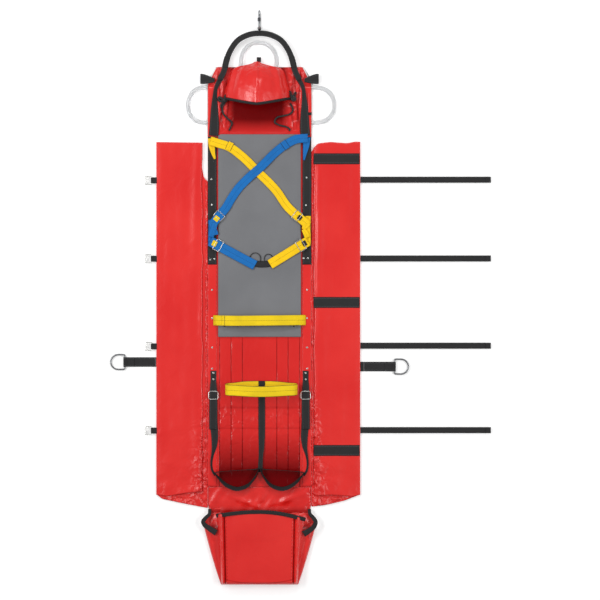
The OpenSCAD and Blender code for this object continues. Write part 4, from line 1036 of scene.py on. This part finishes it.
# Strap folds: a short raised fold on each shoulder strap, with a black band 3 mm wider laid just under it
# that shows as a dark outline: painted shadow
FOLDS = (("left", [(-145, 582, 24.8), (-137, 600, 25.6), (-128, 617, 24.8)], YELLOW, "web_yellow"),
         ("right", [(129.5, 588, 25.0), (118, 605, 25.8), (106.5, 622, 25.0)], BLUE, "web_blue"))
for n, path, cloth, colour in FOLDS:
    strap(f"strap_fold_{n}", [webbing(path, 24, 1.6, 3)], cloth, "base", ())
    strap(f"strap_fold_shadow_{n}", [webbing([(x, y, z - 0.5) for x, y, z in path], 27, 1.4, 3)], BLACK, "base")
crossed = [webbing([(-224, 258, 21), (-214, 232, 25.2), (-204, 205, 25.8), (-201, 192, 25.4)], 26, 2.0, 4),
           webbing([(-203, 248, 26.4), (-212, 216, 27.8), (-223, 184, 23)], 26, 2.0, 4)]
strap("harness_crossing_left", crossed, BLUE, "base", ())
crossed = [webbing([(221, 262, 19, 25), (217, 244, 22.5, 31), (205, 226, 25.4, 22), (199, 218, 25.6, 14)], 26,
                   2.0, 4),
           webbing([(201, 218, 27.6, 18), (212, 200, 26.6, 24), (220, 180, 22, 24)], 22, 2.0, 4)]
strap("harness_crossing_right", crossed, YELLOW, "base", ())


def three_bar(width):
    """Three-bar slider: a wire frame over the strap, and a middle bar that dips beneath it."""
    h = width / 2 + 2.2
    made = wire_frame(-15.5, 15.5, h, 28.7, 1.7, 3.5)
    dip = [(0, -h, 28.7), (0, -h, 25), (0, -h + 2.2, 23.0), (0, 0, 23.0), (0, h - 2.2, 23.0), (0, h, 25),
           (0, h, 28.7)]
    return made + [round_bar(dip, 1.1, 10, step=1.5)]


for n, x, y, turn, wide in (("shoulder_right", 172, 281, -39.9, 40), ("shoulder_left", -185, 280, 49.2, 40),
                            ("leg_left", -190, 144.5, -28.6, 45), ("leg_right", 190, 144.3, 31.65, 45)):
    strap(f"{n}_three_bar", moved(three_bar(wide), (x, y, 0), math.radians(turn)), NICKEL, f"slider_{n}",
          [f"slider_{n}"])

# Strap ends: hemmed yellow ends of the straps that come back through the sliders, and a red sleeve with an
# elastic hem on the right edge of the sheet.
ends = [webbing([(-204, 258, 26.6), (-194, 270, 28.6), (-189, 276, 28.9)], 24, 1.6, 2),
        webbing([(-216, 158, 26.4), (-206, 153, 28.0), (-197, 148, 28.6)], 26, 1.6, 2)]
strap("strap_ends_left", ends, YELLOW_PALE, "base")
ends = [webbing([(192, 265, 26.8), (184, 271.5, 28.6), (177, 277, 28.9)], 22, 1.6, 2),
        webbing([(214, 158, 26.4), (206, 153.5, 28.0), (198, 149, 28.6)], 24, 1.6, 2)]
strap("strap_ends_right", ends, BLACK, "base")
sleeve = [(231, 754, 10.4), (231.5, 776, 11.4), (231, 810, 11.2), (230.5, 845, 10.2)]
strap("edge_sleeve", [webbing(sleeve, 15, 5.0, 5)], RED, "base", ())
strap("edge_sleeve_hem", [webbing([(231, 744, 10.2), (231, 756, 10.6)], 16, 5.6, 4)], BLACK, "base")

# Crotch links: black elastic that joins the two leg straps over the mat, with two sewn finger loops.
links = [webbing([(-46, 70, 21.4), (-10, 60, 21.4), (38, 60, 21.4), (76, 72, 21.4)], 30, 2.2, 4)]
for x, r in ((-19, 24.5), (41, 18.5)):
    a = np.linspace(0, math.pi, 24)
    arc = [(x + r, 68, 22.8),
           (x + r, 78, 22.8)] + [(x + r * math.cos(q), 86 + r * math.sin(q), 22.9) for q in a]
    arc += [(x - r, 78, 22.8), (x - r, 68, 22.8)]
    links.append(round_bar(arc, 1.5, 8))
strap("crotch_link_elastic", links, BLACK, "base", ["crotch_links"])

# Thigh and knee straps: 47 mm lemon webbing. The first crosses the mat between two press studs; the second
# is a closed band that slides along the centre strap.
thigh = [(-211, -199, 11.9), (-207, -199, 15), (-199, -199, 22), (-170, -200, 33), (-100, -201, 42),
         (0, -200, 46),
         (104, -199, 42), (174, -198, 33), (201, -198, 22), (208, -198, 15), (211, -198, 11.8)]
ends = [webbing([(s * 205, -199, 19.0), (s * 199, -199, 24.4), (s * 186, -199.3, 29.8),
                 (s * 172, -199.6, 34.8)], 43, 1.4,
                3) for s in (-1, 1)]
tacks = [webbing([(x, -177, z), (x, -221, z)], 1.6, 0.8, 5) for x, z in ((-159, 37.6), (157, 37.6))]
tacks += [webbing([(x, -221, z), (x, -229, z - 1)], 8, 2.0, 2) for x, z in ((-159, 36), (157, 36))]
tacks += [webbing([(x, y - 23.7, z + 0.2) for x, y, z in thigh[3:8]], 1.5, 2.6, 5)]
strap("thigh_strap_stitches", tacks, BLACK, "thigh_strap")
strap("thigh_webbing", [webbing(thigh, 47, 2.2, 5), *ends], YELLOW_PALE, "thigh_strap", ["thigh_strap"])
a = np.linspace(-math.pi / 2, math.pi / 2, 11)
right = [(9 + 137.5 + 26.4 * math.cos(q), -514 - 3.5 * math.sin(q), 39.3 + 26.4 * math.sin(q)) for q in a]
left = [(9 - 137.5 - 26.4 * math.cos(q), -514 + 3.5 * math.sin(q), 39.3 - 26.4 * math.sin(q)) for q in a]
ring = right + [(70, -522, 65.7), (0, -524, 65.7),
                (-70, -521, 65.7)] + left + [(-70, -504, 12.9), (9, -502, 12.9),
                                                                               (80, -504, 12.9)]
keeper = webbing([(10, -478, 15.4), (10, -490, 15.6), (10, -506, 15.4)], 30, 1.6, 2)
strap("knee_strap_keeper", [keeper], BLACK, "knee_strap")
# a black band 2.4 mm wider and thinner inside the knee band shows as dark lines along both its edges: painted
# shadow
strap("knee_strap_shadow_lines", [webbing(ring, 49.4, 0.9, 5, across=(0, 1, 0), centred=True, closed=True)], BLACK,
      "knee_strap")
strap("knee_webbing", [webbing(ring, 47, 2.2, 5, across=(0, 1, 0), centred=True, closed=True)], YELLOW_PALE,
      "knee_strap", ["knee_strap"])

# Centre strap and stirrups: black webbing down the middle to two foot loops that stand on edge.
middle = [(10, -480, 9.5, 31, 0), (10, -600, 9.5, 31, 0), (10, -720, 9.6, 30, 0), (9, -780, 10.5, 27, 14),
          (6, -830, 11.6, 22, 20), (4, -868, 11.0, 22, 12), (3, -896, 9.6, 22, 0)]
strap("centre_webbing", [webbing(middle, 31, 2.0, 6)], BLACK_SEWN, "base", ["centre_strap"])
LOOP = [(4, -882, 0), (8, -892, 0), (26, -925, 14), (52, -955, 30), (80, -968, 36), (106, -972, 38),
        (134, -964, 36),
        (162, -947, 30), (186, -922, 18), (203, -898, 0), (180, -893, 4), (130, -889, 8), (70, -885, 6),
        (30, -883, 2)]
loops = []
for s in (-1, 1):
    rows = [(s * x, y, 24.8, 25.6, s * t) for x, y, t in LOOP]
    loops.append(webbing(rows, 26, 2.2, 4, across=(0, 0, 1), centred=True, closed=True))
strap("stirrup_webbing", loops, BLACK, "foot_loops", ["foot_loops"])

# Foot side straps: black webbing riveted at the mat, through a bent-wire buckle, and down to the stirrups.
sides = []
for s in (-1, 1):
    upper = [(212, -431, 11.1, 27), (212, -479, 11.1, 27), (212, -497, 14.4, 30), (212, -560, 14.5, 36),
             (212, -640, 14.4, 38), (213, -700, 14.4, 36)]
    under = [(212, -650, 11.1, 36, 0), (208, -700, 11.2, 34, 0), (206, -745, 11.4, 30, 4),
             (209, -785, 12.2, 22, 16),
             (218, -825, 13.2, 13, 34), (222, -860, 13.8, 11, 38), (216, -892, 14.0, 11, 36),
             (203, -911, 14.2, 13, 30)]
    sides.append(webbing([(s * x, y, z, w, 0) for x, y, z, w in upper], 40, 2.2, 5))
    sides.append(webbing([(s * x, y, z, w, s * t) for x, y, z, w, t in under], 40, 2.2, 5))
strap("foot_side_webbing", sides, BLACK_SEWN, "base", ["foot_side_straps"])
frames = []
for s in (-1, 1):
    made = wire_frame(-18, 18, 21.9, 17.9, 2.1, 9)
    made += [round_bar([(0, -22.6, 17.9), (0, -21.6, 14), (0, -19.5, 12.6), (0, 0, 12.6), (0, 19.5, 12.6),
                        (0, 21.6, 14),
                        (0, 22.6, 17.9)], 1.3, 10, step=2)]
    frames += moved(made, (s * 212, -543, 0), math.pi / 2)
strap("foot_strap_buckles", frames, NICKEL, "foot_buckles", ["foot_buckles"])

# Foot flap: the coated sheet's rumpled foot end. It runs on into the bag's mouth.
v, u = np.meshgrid(np.linspace(0, 1, 90), np.linspace(-1, 1, 200))
Y = -966.5 - v * 116
X = u * (237.4 - 8 * np.clip((v - 0.7) / 0.3, 0, 1))
slant = bell(Y + 0.42 * (X + 120), -1010, 15) * bell(X, -60,
                                                     105) + bell(Y - 0.35 * (X - 130), -1022,
                                                                 14) * bell(X, 130, 80)
top = 6.5 + 6.5 * slant + 2.2 * (ripple(X, Y * 1.4, 81, 90) + 0.8)
top = np.clip(top, 4.2, 17) * np.sqrt(np.clip((1 - abs(u)) / 0.03, 0.06, 1))
top = np.maximum(top,
                 3) * (1 - 0.35 * np.clip((v - 0.55) / 0.25, 0, 1)) + 3.2 * np.clip((v - 0.75) / 0.15, 0, 1)
# the last part of the flap, which runs in under the bag's raised mouth, is darkened through the inner value:
# painted shade
flap = slab("foot_flap_sheet", X, Y, top, 1.7 + 5.4 * np.clip((v - 0.78) / 0.1, 0, 1), RED, None,
            ["foot_flap"],
            0.05 + 0.35 * bell(abs(X), 228, 18), 0.55 * np.clip((v - 0.72) / 0.2, 0, 1))
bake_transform(flap)

# Bag: the stretcher's own pack at the foot, sewn from coated sheet. Its back and gussets are one shell, its
# front panel stands proud between two soft pleats, and black webbing binds its mouth and side pockets.
HINGE = -1062.8
BAG = [(0, 227), (12, 229), (34, 231), (58, 260), (76, 259), (130, 245), (200, 226), (292, 198), (348, 179),
       (351, 177)]
v, u = np.meshgrid(np.linspace(0, 1, 150), np.linspace(-1, 1, 150))
d = 351 * v
half = np.interp(d, *np.array(BAG, float).T)
X = u * half
Y = HINGE - d
rise = 0.02 + 0.98 * np.clip((d - 22) / 60, 0, 1) ** 0.7
fall = np.sqrt(np.clip(1 - np.clip((d - 318) / 33, 0, 1) ** 2, 0.03, 1))
top = 5 + 33 * rise * fall * np.clip(1 - abs(u) ** 5, 0, 1) ** 0.5
pocket = bell(abs(X), 226, 26) * bell(d, 62 + 0.35 * (abs(X) - 226), 26)
top -= 19 * pocket * rise
gusset = 6.4 * np.sin((half - abs(X)) / 9.5 + d / 130) * bell(abs(X), half - 28,
                                                              24) * np.clip((d - 110) / 40, 0, 1)
top += gusset * fall + 1.1 * ripple(X, Y * 0.35, 91, 70) * fall
top = np.clip(top, 3, 39.6)
# the inner value darkens a band across the shell about 84 mm below the hinge, by the mouths of the side
# pockets: painted shade
slab("bag_body", X, Y, top, 0.7, RED, "bag", ["bag_shell"],
     0.08 + 0.35 * np.clip(1 - d / 70, 0, 1) + 0.5 * pocket,
     0.8 * bell(d, 84, 16) * np.clip((238 - abs(X)) / 20, 0, 1))
v, u = np.meshgrid(np.linspace(0, 1, 170), np.linspace(-1, 1, 190))
reach = 204 - 30 * v
X = u * reach + 6 * (1 - v)
head = np.where(X < 0, -1067 - 0.00050 * X**2, -1067 - 0.00085 * X**2)
Y = head + v * (-1409 - head)
side = 158 - 6 * v
panel = 1 / (1 + np.exp((abs(X) - side) / 2.2))
pleat = bell(abs(X), side + 19 - 5 * v, 14 - 3 * v)
low = np.clip((v - 0.93) / 0.07, 0, 1)
top = 38 + 15 * panel + 19 * pleat * (1 - 0.3 * v) - 8 * bell(abs(X), side + 2.5,
                                                              3.2) - 14 * np.clip(abs(u) - 0.94, 0, 1) / 0.06
base_line = 1.4 * bell(v, 0.955, 0.012) * panel
hollow = 2.6 * bell(X, 30, 120) * bell(v, 0.6, 0.2) + 1.6 * bell(X, -60, 60) * bell(v, 0.83, 0.07)
top += 1.2 * ripple(X, Y * 0.6, 95, 110) * panel - hollow + base_line
top -= 21 * (1 - np.sqrt(np.clip(1 - low**2, 0, 1))) + 7 * np.clip(1 - v / 0.02, 0, 1) ** 2
top = np.clip(top, 12, 59.5)
# the inner value draws dashed stitching inside each side and the curved hem seam near the bottom, and darkens
# the groove between the panel and each pleat, which is painted shade
slab("bag_front_panel", X, Y, top, np.maximum(top - 24, 7), RED, "bag", ["bag_pocket"],
             0.03 + 0.1 * (1 - panel) + 0.12 * low,
     np.clip(0.55 * bell(abs(X), side - 7, 1.6) * (np.sin(Y / 2.4) > -0.2) + 0.45
             * bell(Y, -1401 + 0.0008 * X**2, 2.2) * panel
             + 0.6 * bell(abs(X), side + 2, 3), 0, 1))
lip = np.linspace(-198, 211, 60)
arch_y = np.where(lip < 0, -1067 - 0.00050 * lip**2, -1067 - 0.00085 * lip**2)
arch_z = 56 - 17 * np.clip((abs(lip - 6) - 158) / 42, 0, 1) ** 1.5
bind = [webbing(np.stack([lip, arch_y - 6, arch_z], 1).tolist(), 18, 3.0, 6, centred=True)]
for s, pts in ((-1,
                [(-229, -1066, 10), (-230, -1088, 20), (-246, -1104, 27), (-258, -1122, 29),
                 (-250, -1136, 30.5),
                     (-232, -1149, 33), (-212, -1162, 37), (-197, -1170, 40)]),
               (1, [(229, -1066, 10), (231, -1086, 20), (247, -1104, 27), (257, -1122, 29),
                    (250, -1142, 30.5),
                    (234, -1157, 33), (216, -1168, 37), (202, -1176, 40)])):
    bind.append(webbing([(x, y, z + 3, 14 + 2 * k) for k, (x, y, z) in enumerate(pts)], 17, 3.4, 5,
                        centred=True))
strap("bag_binding", bind, BLACK, "bag")
